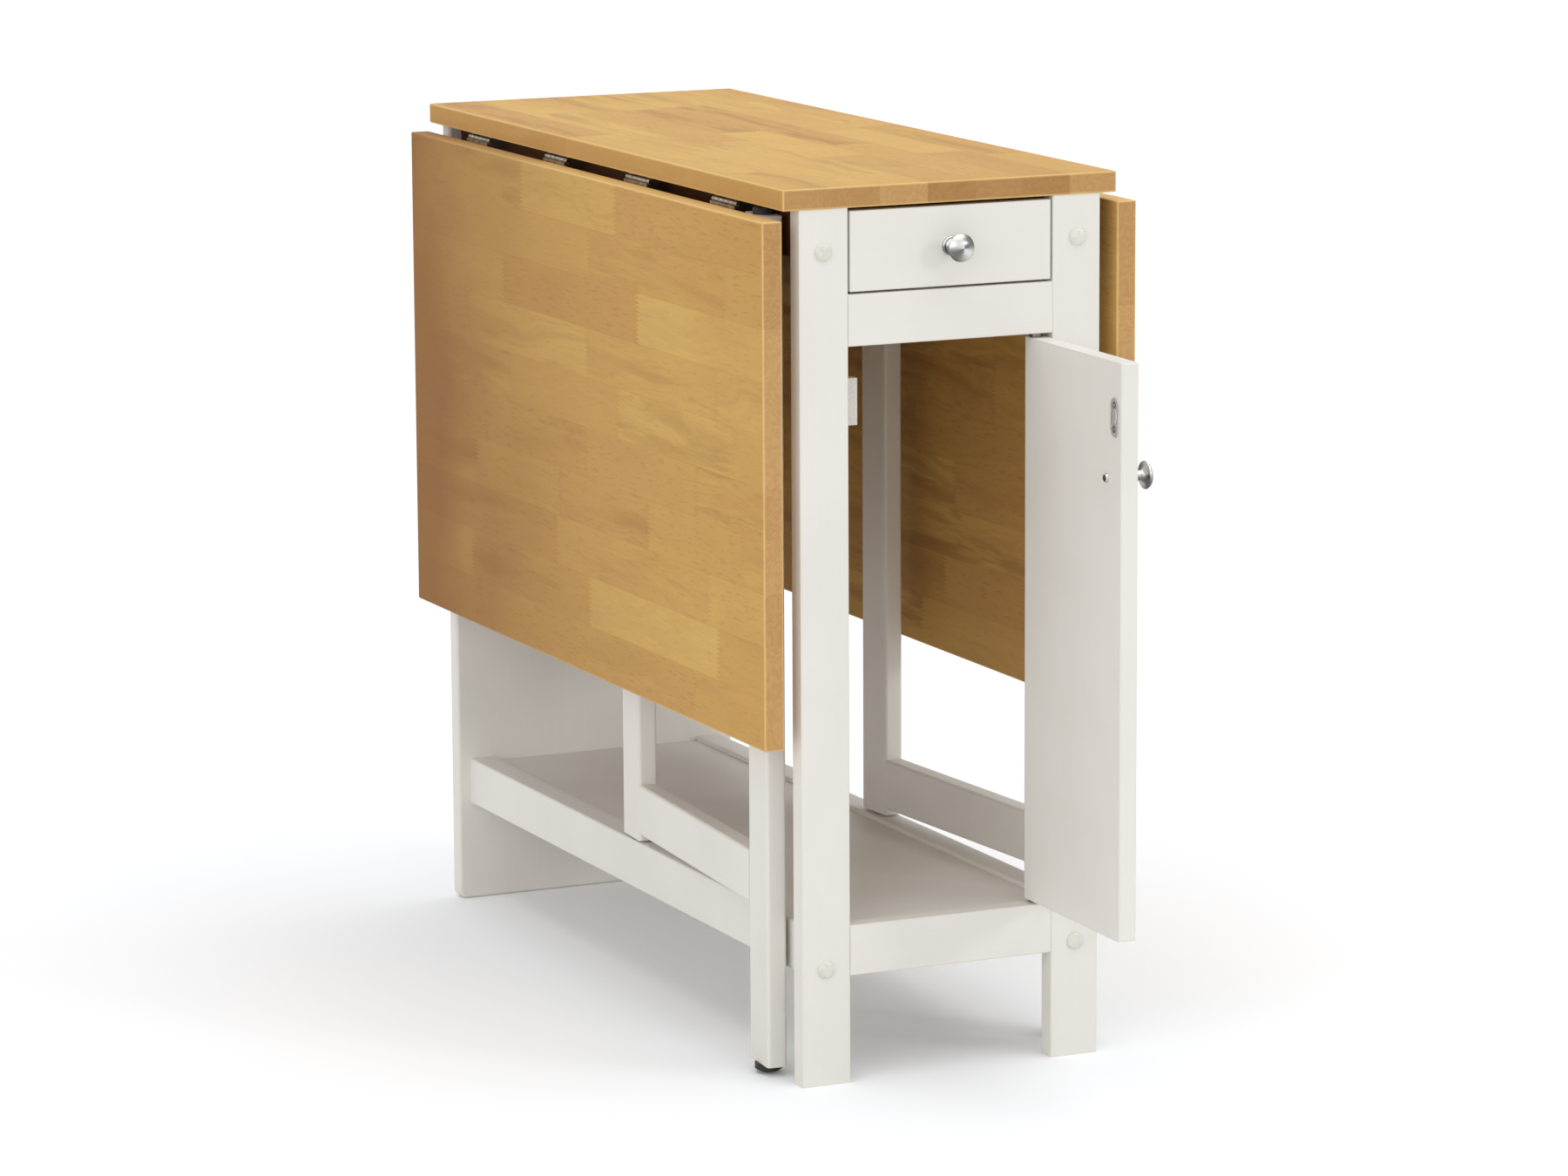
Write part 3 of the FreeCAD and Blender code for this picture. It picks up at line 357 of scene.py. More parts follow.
class Tree:
    """A Geometry Nodes tree under construction, with named inputs for its sizes."""

    def __init__(self, name, sizes):
        self.group = bpy.data.node_groups.new(name, "GeometryNodeTree")
        self.add_socket("Places", "INPUT", "NodeSocketGeometry")
        for size in sizes:
            self.add_socket(size, "INPUT", "NodeSocketFloat")
        self.add_socket("Finish", "INPUT", "NodeSocketMaterial")
        self.add_socket("Pieces", "OUTPUT", "NodeSocketGeometry")
        self.inputs = self.group.nodes.new("NodeGroupInput").outputs
        self.output = self.group.nodes.new("NodeGroupOutput").inputs[0]

    def add_socket(self, name, direction, kind):
        self.group.interface.new_socket(name=name, in_out=direction, socket_type=kind)

    def node(self, kind, settings, inputs, output=0):
        """Any node, with its settings and the values or links of its sockets."""
        made = self.group.nodes.new(kind)
        for name, value in settings.items():
            setattr(made, name, value)
        for name, value in inputs.items():
            for each in value if isinstance(value, list) else [value]:
                if isinstance(each, bpy.types.NodeSocket):
                    self.group.links.new(each, made.inputs[name])
                else:
                    made.inputs[name].default_value = each
        return made.outputs[output]

    def math(self, operation, first, second):
        return self.node("ShaderNodeMath", {"operation": operation}, {0: first, 1: second})

    def vector(self, x, y, z):
        return self.node("ShaderNodeCombineXYZ", {}, {0: x, 1: y, 2: z})

    def raised(self, mesh, rise):
        shift = self.vector(0.0, 0.0, rise)
        return self.node("GeometryNodeTransform", {}, {"Geometry": mesh, "Translation": shift})

    def joined(self, *meshes):
        return self.node("GeometryNodeJoinGeometry", {}, {0: list(meshes)})

    def end(self, piece):
        """One copy of the piece at each place, its Z turned along the place's own direction."""
        named = {"data_type": "FLOAT_VECTOR"}
        facing = self.node("GeometryNodeInputNamedAttribute", named, {"Name": "facing"})
        turn = self.node("FunctionNodeAlignRotationToVector", {"axis": "Z"}, {"Vector": facing})
        placed = {"Points": self.inputs["Places"], "Instance": piece, "Rotation": turn}
        copies = self.node("GeometryNodeInstanceOnPoints", {}, placed)
        real = self.node("GeometryNodeRealizeInstances", {}, {"Geometry": copies})
        finish = {"Geometry": real, "Material": self.inputs["Finish"]}
        self.group.links.new(self.node("GeometryNodeSetMaterial", {}, finish), self.output)


def smooth(mesh):
    for face in mesh.polygons:
        face.use_smooth = True
    mesh.set_sharp_from_angle(angle=SHARP_ANGLE)


def add_piece(mesh, body, node):
    """Put a finished mesh in the place of a node, as a piece that moves with a body."""
    piece = bpy.data.objects.new(mesh.name, mesh)
    bpy.context.scene.collection.objects.link(piece)
    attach(piece, body)
    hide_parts(node)


def set_out(tree, sizes, finish, places, name):
    """The tree's mesh over places, each a point and a direction."""
    points = bpy.data.meshes.new(f"{name}_places")
    points.from_pydata([point for point, facing in places], [], [])
    attribute = points.attributes.new("facing", "FLOAT_VECTOR", "POINT")
    for value, (point, facing) in zip(attribute.data, places):
        value.vector = facing
    carrier = bpy.data.objects.new(f"{name}_places", points)
    bpy.context.scene.collection.objects.link(carrier)
    modifier = carrier.modifiers.new("pieces", "NODES")
    modifier.node_group = tree.group
    values = {**sizes, "Finish": finish}
    for item in tree.group.interface.items_tree:
        if item.in_out == "INPUT" and item.name in values:
            modifier[item.identifier] = values[item.name]
    bpy.context.view_layer.update()
    seen = carrier.evaluated_get(bpy.context.evaluated_depsgraph_get())
    mesh = bpy.data.meshes.new_from_object(seen)
    carrier.modifiers.remove(modifier)
    bpy.data.objects.remove(carrier)
    mesh.name = name
    smooth(mesh)
    return mesh


def cap_tree():
    """A rim with a crown on it: half a ball, flattened towards its top."""
    tree = Tree("bolt_cap", ["Radius", "Rise", "Rim"])
    radius, rise, rim = (tree.inputs[name] for name in ("Radius", "Rise", "Rim"))
    ball_sizes = {"Segments": CAP_SEGMENTS, "Rings": CAP_RINGS, "Radius": 1.0}
    ball = tree.node("GeometryNodeMeshUVSphere", {}, ball_sizes)
    position = tree.node("GeometryNodeInputPosition", {}, {})
    height = tree.node("ShaderNodeSeparateXYZ", {}, {0: position}, 2)
    below = tree.math("LESS_THAN", height, JUST_BELOW_MIDDLE)
    half_ball = tree.node("GeometryNodeDeleteGeometry", {}, {"Geometry": ball, "Selection": below})
    drop = tree.math("POWER", tree.math("SUBTRACT", 1.0, height), CAP_FLATNESS)
    flatter = tree.math("SUBTRACT", tree.math("SUBTRACT", 1.0, drop), height)
    moved = {"Geometry": half_ball, "Offset": tree.vector(0.0, 0.0, flatter)}
    button = tree.node("GeometryNodeSetPosition", {}, moved)
    scale = tree.vector(radius, radius, tree.math("SUBTRACT", rise, rim))
    crown = tree.node("GeometryNodeTransform", {}, {"Geometry": button, "Scale": scale})
    ring_sizes = {"Vertices": CAP_SEGMENTS, "Radius": radius, "Depth": rim}
    ring = tree.node("GeometryNodeMeshCylinder", {}, ring_sizes)
    tree.end(tree.joined(tree.raised(crown, rim), tree.raised(ring, tree.math("DIVIDE", rim, 2.0))))
    return tree


def cream_plastic():
    material, shader, place = start_material("cap_cream", {"Coat Weight": CAP_COAT})
    mottle = place.noise(CAP_MOTTLE, 2.0)
    mottle.fade(*CAP_BAND).mix(CAP_LIGHT, CAP_DARK).feeds(shader, "Base Color")
    place.noise(CAP_SPECKS, 1.0).spread(*CAP_ROUGHNESS).feeds(shader, "Roughness")
    mottle.bump(*CAP_RELIEF).feeds(shader, "Normal")
    return material


cap_boxes = islands("bolt_caps")
front_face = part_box("front_left_post")[0].y
back_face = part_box("back_panel")[1].y
cap_places = []
for low, high in cap_boxes:
    middle = (low + high) / 2
    if middle.y < (front_face + back_face) / 2:
        cap_places.append(((middle.x, front_face, middle.z), (0.0, -1.0, 0.0)))
    else:
        cap_places.append(((middle.x, back_face, middle.z), (0.0, 1.0, 0.0)))
cap_low, cap_high = cap_boxes[0]
cap_sizes = {
    "Radius": (cap_high.x - cap_low.x) / 2,
    "Rise": front_face - min(low.y for low, high in cap_boxes),
    "Rim": CAP_RIM,
}
cap_mesh = set_out(cap_tree(), cap_sizes, cream_plastic(), cap_places, "bolt_cap_buttons")
add_piece(cap_mesh, "carcass", "bolt_caps")


# Top and leaves: rubberwood staves, finger-jointed end to end, glued up into boards and planed.
# They are stained honey and varnished satin; each stave keeps its own tone and grain, and the boards'
# ends show end grain. The two upper side rails are glued up the same way, in a much darker brown.
STAVE_WIDTH = 0.0447
STAVE_LENGTH = 0.285
STAVE_SPREAD_SHARE = 0.6
FINGER_PITCH = 0.002
FINGER_LENGTH = 0.009
GLUE_LINE = 0.0006
JOINT_LINE = FINGER_LENGTH / 3
END_SKIN = 0.0007
END_SKIN_SHARE = 0.6
# How far in from an arris the lighter edge tone reaches; it is partly worn varnish, partly a painted
# highlight
EDGE_WEAR_AND_HIGHLIGHT = 0.0022
ROW_STEP = 3.0
RUN_SHIFT = 7.0
RUN_SLIDE = 3.0
SIDE_SLIDE = 2.0
FIGURE_SLIDE = 9.0
STREAK_SEED = 17.0
RAIL_SEED = 20.0
TOP_SEED = 3.0
TOP_BROWNED = 0.3
# Each leaf's seed, and how deep its painted shade gets towards the back end and the bottom
LEAVES = {"left": (11.0, 0.86), "right": (23.0, 0.3)}
HONEY = {
    "light": tone(219, 180, 103),
    "middle": tone(208, 165, 94),
    "red": tone(192, 146, 84),
    "brown": tone(140, 95, 52),
    "end": tone(202, 162, 110),
    "end_dark": tone(178, 136, 90),
    # The edge tone is partly worn varnish and partly a painted highlight along the arrises, and painted
    # light on the leaves' long edges
    "edge": tone(238, 202, 134),
}
DARK_RAIL_TONES = {
    "light": tone(112, 74, 42),
    "middle": tone(98, 62, 35),
    "red": tone(84, 48, 28),
    "brown": tone(52, 30, 18),
    "end": tone(104, 70, 42),
    "end_dark": tone(78, 48, 28),
    # The edge tone is partly worn varnish and partly a painted highlight along the arrises
    "edge": tone(120, 82, 48),
}
# Patterns to the metre along, over and through a stave
BEND_LINES = (5.0, 16.0, 16.0)
PATCH_LINES = (5.0, 38.0, 38.0)
FIBRE_LINES = (30.0, 900.0, 900.0)
FLECK_LINES = (55.0, 420.0, 420.0)
FIGURE_RUN = 2.6
FIGURE_LINES = 80.0
STAIN_CLOUDS = 5.0
# How far the figure sways, and how much closer its rings lie in the end grain
FIGURE_SWAY = 8.0
RING_LINES = (1.0, 3.0, 3.0)
# Where a pattern starts and ends, and how much it colours: at least, and more by the stave's chance
LIGHT_BAND = (-0.1, 1.1)
RED_STAVES = 1.1
CLOUD_BAND, CLOUD_SHARE = (0.38, 0.64), 0.3
FIGURE_BAND, FIGURE_SHARES = (0.36, 0.62), (0.15, 0.5)
PATCH_BAND, PATCH_SHARES = (0.36, 0.46), (0.04, 0.36)
FLECK_BAND, FLECK_SHARES = (0.55, 0.68), (0.1, 0.15)
FIBRE_BAND, FIBRE_SHARE = (0.35, 0.65), 0.16
RING_BAND, RING_SHARE = (0.4, 0.6), 0.4
STREAK_SLANT, STREAK_BEND = 0.8, 0.6
STREAK_MIDDLES = (0.2, 0.6)
STREAK_WIDTHS = (0.18, 0.22)
STREAK_RUN = (0.1, 0.55)
STREAK_FIGURE = 0.35
CALM_SHARE, STREAK_SHARE = 0.3, 0.6
SEAM_SHARE = 0.14
JOINT_SHARES = (0.03, 0.3)
END_SHARE, SIDE_SHARE, EDGE_WEAR_AND_HIGHLIGHT_SHARE = 0.85, 0.6, 0.75
# Painted shade on a leaf, deepening towards the back and downwards and broken up in clouds
FAR_SHADE, DOWN_SHADE, CLOUD_SHADE, SHADE_START = 1.25, 0.12, 0.5, 0.5
SOAKED_SHARE = 0.05
VARNISH_GLOSS = 0.07
VARNISH_ROUGHNESS, FLECK_ROUGHNESS = (0.42, 0.12), 0.08
FLECK_RELIEF_SHARE = 0.6
VARNISH_RELIEF = (0.1, 0.0003)


def chance(number):
    """A random number that belongs to a number."""
    return number.node("ShaderNodeTexWhiteNoise", {"noise_dimensions": "1D"}, {"W": number}, "Value")


def chances(place):
    """Three random numbers that belong to a place."""
    settings = {"noise_dimensions": "3D"}
    return place.node("ShaderNodeTexWhiteNoise", settings, {"Vector": place}, "Color").axes()


def stave_plan(along, over, start, width, seed):
    """The stave that a point lies in, where in it the point lies, and what chance gave that stave."""
    row_place = (over - start) / width
    row = row_place.floor()
    fingers = over.math("PINGPONG", over, FINGER_PITCH) * (FINGER_LENGTH / FINGER_PITCH)
    longer = chance(row * ROW_STEP + seed) * STAVE_SPREAD_SHARE
    length = STAVE_LENGTH * (1.0 - STAVE_SPREAD_SHARE / 2 + longer)
    run_place = (along + fingers) / length + chance(row + seed) * RUN_SHIFT
    run = run_place.floor()
    light, red, wild = chances(row.point(row, run, seed))
    drift, height, reach = chances(row.point(row, run, seed + STREAK_SEED))
    return SimpleNamespace(
        length=length, in_row=row_place - row, in_run=run_place - run,
        light=light, red=red, wild=wild, drift=drift, height=height, reach=reach,
    )


def stave_grain(place, along, over, through, plan):
    """The patterns of a stave's wood, shifted by its chances so that no two staves are alike."""
    slid = place.point(
        along + plan.light * RUN_SLIDE,
        over + plan.red * SIDE_SLIDE,
        through + plan.wild * SIDE_SLIDE,
    )
    bend = slid.stretched(BEND_LINES).noise(1.0, 2.0)
    figure_place = place.point(
        along * FIGURE_RUN + plan.light * FIGURE_SLIDE,
        (over + plan.red) * FIGURE_LINES + bend * FIGURE_SWAY,
        (through + plan.wild) * FIGURE_LINES,
    )
    return SimpleNamespace(
        bend=bend,
        figure=figure_place.noise(1.0, 5.0),
        rings=figure_place.stretched(RING_LINES).noise(1.0, 3.0),
        patches=slid.stretched(PATCH_LINES).noise(1.0, 4.0),
        fibres=slid.stretched(FIBRE_LINES).noise(1.0, 3.0),
        flecks=slid.stretched(FLECK_LINES).noise(1.0, 2.0),
        clouds=place.noise(STAIN_CLOUDS, 2.0),
    )


def stave_colour(plan, grain, stain, width):
    """A stave's own tone with its figure, patches, flecks, streak, fibres and glue lines."""
    body = plan.light.fade(*LIGHT_BAND).mix(stain["middle"], stain["light"])
    body = ((plan.red - 0.5).most(0.0) * RED_STAVES).mix(body, stain["red"])
    body = (grain.clouds.fade(*CLOUD_BAND) * CLOUD_SHARE).mix(body, stain["red"])
    body = (grain.figure.fade(*FIGURE_BAND) * plan.wild.spread(*FIGURE_SHARES)).mix(body, stain["red"])
    patchy = (plan.wild * plan.wild).spread(*PATCH_SHARES)
    body = (grain.patches.fade(*PATCH_BAND) * patchy).mix(body, stain["brown"])
    flecked = (1.0 - grain.flecks.fade(*FLECK_BAND)) * plan.red.spread(*FLECK_SHARES)
    body = flecked.mix(body, stain["brown"])

    slant = (plan.in_run - 0.5) * (plan.drift - 0.5) * STREAK_SLANT + (grain.bend - 0.5) * STREAK_BEND
    off_middle = abs(plan.in_row - plan.height.spread(*STREAK_MIDDLES) + slant)
    streak = off_middle.fade(0.0, plan.drift.spread(*STREAK_WIDTHS))
    streak = streak * abs(plan.in_run - plan.reach).fade(*STREAK_RUN) * (STREAK_FIGURE + grain.figure)
    body = (streak * ((plan.wild - CALM_SHARE).most(0.0) * STREAK_SHARE)).mix(body, stain["brown"])
    body = (grain.fibres.fade(*FIBRE_BAND) * FIBRE_SHARE).mix(body, stain["red"])

    seam = plan.in_row.least(1.0 - plan.in_row) * width
    body = (seam.fade(0.0, GLUE_LINE) * SEAM_SHARE).mix(body, stain["brown"])
    joint = plan.in_run.least(1.0 - plan.in_run) * plan.length
    jointed = (plan.wild * plan.wild).spread(*JOINT_SHARES)
    return (joint.fade(0.0, JOINT_LINE) * jointed).mix(body, stain["brown"])


def staved(node, across, depth, seed, stain, side, painted_shade_depth=0.0, browned=0.0):
    """A board of staves that run along Y, side by side over the axis across.

    Side names the tone of the long edges. The argument after it sets how deep a painted shade gets towards
    the back end and the bottom, and browned how much more of the stain the end grain takes up.
    """
    material, shader, place = start_material(f"{node}_staves", {"Specular IOR Level": VARNISH_GLOSS})
    low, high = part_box(node)
    span = high[across] - low[across]
    width = span / max(1, round(span / STAVE_WIDTH))
    axes = place.axes()
    along, over, through = axes[Y_AXIS], axes[across], axes[depth]
    plan = stave_plan(along, over, low[across], width, seed)
    grain = stave_grain(place, along, over, through, plan)
    body = stave_colour(plan, grain, stain, width)

    end_rings = plan.red.blended(grain.rings.fade(*RING_BAND), RING_SHARE)
    end_tone = end_rings.mix(stain["end"], stain["end_dark"])
    end_tone = ((0.5 + plan.red) * browned).mix(end_tone, stain["brown"])
    skin = (END_SKIN * END_SKIN_SHARE, END_SKIN)
    end_gap = (along - low.y).least(high.y - along)
    body = (end_gap.fade(*skin) * END_SHARE).mix(body, end_tone)
    side_gap = (over - low[across]).least(high[across] - over)
    body = (side_gap.fade(*skin) * SIDE_SHARE).mix(body, stain[side])
    # A lighter tone along every arris: partly worn varnish, partly a painted highlight
    edge = edge_distance(place, low, high) + (grain.bend - 0.5) * (EDGE_WEAR_AND_HIGHLIGHT / 2)
    body = (edge.fade(0.0, EDGE_WEAR_AND_HIGHLIGHT) * EDGE_WEAR_AND_HIGHLIGHT_SHARE).mix(body, stain["edge"])
    # Painted shade: darker towards the back end and the bottom of the board
    if painted_shade_depth:
        far = (along - low.y) / (high.y - low.y)
        down = (high[across] - over) / span
        painted_shade = far * FAR_SHADE + down * DOWN_SHADE + grain.clouds * CLOUD_SHADE - SHADE_START
        painted_shade = painted_shade.most(0.0).least(1.0)
        body = (painted_shade * painted_shade * painted_shade_depth + SOAKED_SHARE).mix(body, stain["brown"])

    body.feeds(shader, "Base Color")
    (grain.figure.spread(*VARNISH_ROUGHNESS) + grain.flecks * FLECK_ROUGHNESS).feeds(shader, "Roughness")
    grain.fibres.blended(grain.flecks, FLECK_RELIEF_SHARE).bump(*VARNISH_RELIEF).feeds(shader, "Normal")
    dress(node, material)


staved("top_board", X_AXIS, Z_AXIS, TOP_SEED, HONEY, "red", browned=TOP_BROWNED)
for side, (seed, painted_shade_depth) in LEAVES.items():
    # The leaves' long edges take the edge tone, as painted light
    staved(f"{side}_leaf_board", Z_AXIS, X_AXIS, seed, HONEY, "edge", painted_shade_depth)
    staved(f"{side}_upper_rail", Z_AXIS, X_AXIS, seed + RAIL_SEED, DARK_RAIL_TONES, "red")


# Leaf hinges: pressed steel plates with five rolled knuckles on a pin, four along each side.
# They are nickel-plated, and held under the top and on the back of each leaf by flat-headed wood screws.
# The screws are zinc-plated, with a pressed cross recess.
HINGE_BRIGHT = tone(158, 148, 134)
HINGE_DULL = tone(112, 102, 90)
FLAT_SIZES = {
    "Face Radius": 0.003,
    "Seat Radius": 0.0015,
    "Head": 0.0015,
    "Shank Radius": 0.0015,
    "Length": 0.012,
    "Slot": 0.0009,
    "Slot Depth": 0.0008,
}
SLOT_RUN_SHARE = 1.25
HEAD_STEPS = 28
SHANK_STEPS = 14


def screw_tree():
    """A screw along Z with its face at 0: a tapered head with a cross cut into it, and a plain shank."""
    tree = Tree("cross_head_screw", list(FLAT_SIZES))
    size = tree.inputs
    head = tree.node("GeometryNodeMeshCone", {}, {
        "Vertices": HEAD_STEPS,
        "Radius Top": size["Seat Radius"],
        "Radius Bottom": size["Face Radius"],
        "Depth": size["Head"],
    })
    slot_run = tree.math("MULTIPLY", size["Face Radius"], SLOT_RUN_SHARE)
    slot_deep = tree.math("MULTIPLY", size["Slot Depth"], 2.0)
    arms = []
    for long, short in ((slot_run, size["Slot"]), (size["Slot"], slot_run)):
        arms.append(tree.node("GeometryNodeMeshCube", {}, {"Size": tree.vector(long, short, slot_deep)}))
    cut = {"Mesh 1": head, "Mesh 2": arms}
    recessed = tree.node("GeometryNodeMeshBoolean", {"operation": "DIFFERENCE"}, cut)
    shank_sizes = {"Vertices": SHANK_STEPS, "Radius": size["Shank Radius"], "Depth": size["Length"]}
    shank = tree.node("GeometryNodeMeshCylinder", {}, shank_sizes)
    shank_middle = tree.math("ADD", tree.math("DIVIDE", size["Length"], 2.0), size["Slot Depth"])
    tree.end(tree.joined(recessed, tree.raised(shank, shank_middle)))
    return tree


cross_head_screw = screw_tree()


def add_screws(node, body, facing, sizes):
    """A screw in the place of each of a node's solids, pointing the given way into the wood."""
    into = Vector(facing)
    places = []
    for low, high in islands(node):
        reach = (high - low).dot(Vector([abs(value) for value in into])) / 2
        places.append((tuple((low + high) / 2 - into * reach), facing))
    mesh = set_out(cross_head_screw, sizes, zinc_plate, places, f"{node}_cross_heads")
    add_piece(mesh, body, node)


hinge_nickel = plated_steel("hinge_nickel", HINGE_BRIGHT, HINGE_DULL)
for side in ("left", "right"):
    dress(f"{side}_top_hinge_plates", hinge_nickel)
    dress(f"{side}_leaf_hinge_plates", hinge_nickel)
dress("hinge_pins", hinge_nickel)
add_screws("top_hinge_screws", "carcass", (0.0, 0.0, 1.0), FLAT_SIZES)
add_screws("left_leaf_hinge_screws", "left_leaf", (-1.0, 0.0, 0.0), FLAT_SIZES)
add_screws("right_leaf_hinge_screws", "right_leaf", (1.0, 0.0, 0.0), FLAT_SIZES)


# Gates: each is a frame of a pivot post, a leg and two rails with mortise and tenon joints.
# They are painted like the carcass and swing on dark steel pins between the side rails.
PIN_BRIGHT = tone(150, 150, 148)
PIN_DULL = tone(104, 104, 103)


def gate_turn(side):
    """How far a gate stands out from the side at rest, from the middles of its post and its leg."""
    post_low, post_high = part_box(f"{side}_gate_pivot_post")
    leg_low, leg_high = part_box(f"{side}_gate_leg")
    reach = (leg_low + leg_high - post_low - post_high) / 2
    return math.atan2(reach.x, -reach.y)


dark_steel = plated_steel("dark_steel", PIN_BRIGHT, PIN_DULL)
for side in ("left", "right"):
    turn = gate_turn(side)
    painted(f"{side}_gate_pivot_post", Z_AXIS, turn)
    painted(f"{side}_gate_leg", Z_AXIS, turn)
    painted(f"{side}_gate_bottom_rail", Y_AXIS, turn)
    painted(f"{side}_gate_top_rail", Y_AXIS, turn)
    dress(f"{side}_gate_pivot_pins", dark_steel)


# Foot glides and top pads: black rubber buttons with a stem knocked into each gate leg.
# The glide lets the leg slide over the floor, and the pad bears the raised leaf.
RUBBER_BLACK = tone(30, 30, 31)
RUBBER_DUSTY = tone(48, 47, 46)
RUBBER_GLOSS = 0.35
RUBBER_DUST = 180.0
RUBBER_PEBBLES = 1800.0
RUBBER_BAND = (0.35, 0.7)
RUBBER_ROUGHNESS = (0.45, 0.25)
RUBBER_RELIEF = (0.15, 0.0002)


def rubber():
    material, shader, place = start_material("black_rubber", {"Specular IOR Level": RUBBER_GLOSS})
    dust = place.noise(RUBBER_DUST, 4.0)
    dust.fade(*RUBBER_BAND).mix(RUBBER_BLACK, RUBBER_DUSTY).feeds(shader, "Base Color")
    dust.spread(*RUBBER_ROUGHNESS).feeds(shader, "Roughness")
    place.noise(RUBBER_PEBBLES, 2.0).bump(*RUBBER_RELIEF).feeds(shader, "Normal")
    return material


black_rubber = rubber()
for side in ("left", "right"):
    dress(f"{side}_gate_foot_glide", black_rubber)
    dress(f"{side}_gate_top_pad", black_rubber)


# Drawer: a painted front on a box of thin sanded boards, glued at the corners.
# The bottom is a sheet of plywood, held in grooves that run round all four walls.
PLY_LIGHT = tone(224, 197, 154)
PLY_DARK = tone(204, 170, 122)
PLY_SWIRL = (9.0, 2.2, 1.0)
PLY_FLAMES = 26.0
PLY_FLAME_RUN = 1.5
PLY_LAYERS = 900.0
PLY_LINES = (420.0, 9.0, 420.0)
PLY_LINE_SHARE = 0.3
PLY_BAND = (0.36, 0.64)
PLY_ROUGHNESS = (0.55, 0.15)
PLY_RELIEF = (0.15, 0.0003)


def plywood():
    material, shader, place = start_material("drawer_plywood", {})
    swirl = place.stretched(PLY_SWIRL).noise(1.0, 3.0)
    x, y, z = place.axes()
    flames = place.point(swirl * PLY_FLAMES, y * PLY_FLAME_RUN, z * PLY_LAYERS).noise(1.0, 3.0)
    lines = place.stretched(PLY_LINES).noise(1.0, 3.0)
    veneer = flames.blended(lines, PLY_LINE_SHARE).fade(*PLY_BAND)
    veneer.mix(PLY_DARK, PLY_LIGHT).feeds(shader, "Base Color")
    lines.spread(*PLY_ROUGHNESS).feeds(shader, "Roughness")
    lines.bump(*PLY_RELIEF).feeds(shader, "Normal")
    return material


painted("drawer_front", X_AXIS)
sanded_pine("drawer_left_side", Y_AXIS)
sanded_pine("drawer_right_side", Y_AXIS)
sanded_pine("drawer_back", X_AXIS)
dress("drawer_bottom", plywood())


# Door: one board, painted like the carcass and shown standing open.
# It turns on steel pins that are let into its top and bottom edge.
door_joint = next(joint for joint in frame["joints"] if joint["child"] == "door")
door_open = math.radians(-door_joint["range_deg"][0])
hang = Matrix.Translation(door_joint["pos_m"])
swing = hang @ Matrix.Rotation(door_open, 4, "Z") @ hang.inverted()
into_door = (math.sin(door_open), -math.cos(door_open), 0.0)
painted("door_panel", Z_AXIS, door_open)
dress("door_pivot_pins", dark_steel)


# Strike plate: a stamped steel oval screwed to the door's inner face for the catch's magnet.
# A boss with a groove round it is pressed in its middle; it is tumbled and zinc-plated, so it stays dull.
STRIKE_EASE = 0.0005
BOSS_WIDTH_SHARE = 0.5
BOSS_LENGTH_SHARE = 0.36
BOSS_RISE = 0.0002
GROOVE_WIDTH = 0.0008
GROOVE_DEPTH = 0.0008
ARC_STEPS = 14
STRIKE_LIGHT = tone(214, 213, 210)
STRIKE_DARK = tone(184, 183, 180)
STRIKE_METAL = 0.7
STRIKE_PITS = 420.0
STRIKE_BAND = (0.3, 0.7)
STRIKE_ROUGHNESS = (0.46, 0.14)
STRIKE_RELIEF = (0.12, 0.0002)


def tumbled_zinc():
    material, shader, place = start_material("strike_zinc", {"Metallic": STRIKE_METAL})
    pits = place.noise(STRIKE_PITS, 3.0)
    pits.fade(*STRIKE_BAND).mix(STRIKE_LIGHT, STRIKE_DARK).feeds(shader, "Base Color")
    pits.spread(*STRIKE_ROUGHNESS).feeds(shader, "Roughness")
    pits.bump(*STRIKE_RELIEF).feeds(shader, "Normal")
    return material


def oval_ring(half_width, half_length, height):
    """A ring of points with round ends at the given height."""
    ring = []
    for end in (1, -1):
        for i in range(ARC_STEPS + 1):
            angle = math.pi * i / ARC_STEPS
            x = half_width * math.cos(angle)
            y = half_length - half_width + half_width * math.sin(angle)
            ring.append((end * x, end * y, height))
    return ring


def close_ends(shape, rings):
    """Close a skin at its first and last ring and turn its faces outwards."""
    shape.faces.new(reversed(rings[0]))
    shape.faces.new(rings[-1])
    bmesh.ops.recalc_face_normals(shape, faces=shape.faces)


def finished(name, shape, placing, finish):
    """A mesh of the shape, moved to its place, with its material."""
    mesh = bpy.data.meshes.new(name)
    shape.to_mesh(mesh)
    shape.free()
    mesh.transform(placing)
    mesh.materials.append(finish)
    smooth(mesh)
    return mesh


def stacked(name, outlines, placing, finish):
    """A skin over rings of points, closed at both ends."""
    shape = bmesh.new()
    rings = [[shape.verts.new(point) for point in outline] for outline in outlines]
    for lower, upper in zip(rings, rings[1:]):
        for i in range(len(lower)):
            j = (i + 1) % len(lower)
            shape.faces.new((lower[i], lower[j], upper[j], upper[i]))
    close_ends(shape, rings)
    return finished(name, shape, placing, finish)


def shut_box(node):
    """The box of a piece of the door, with the door shut."""
    shut = swing.inverted()
    return corners_of([shut @ vertex.co for vertex in frame["nodes"][node].data.vertices])


def seat_at(low, high, y):
    """The place in the middle of a box's width and height, at a given y."""
    return Matrix.Translation(((low.x + high.x) / 2, y, (low.z + high.z) / 2))


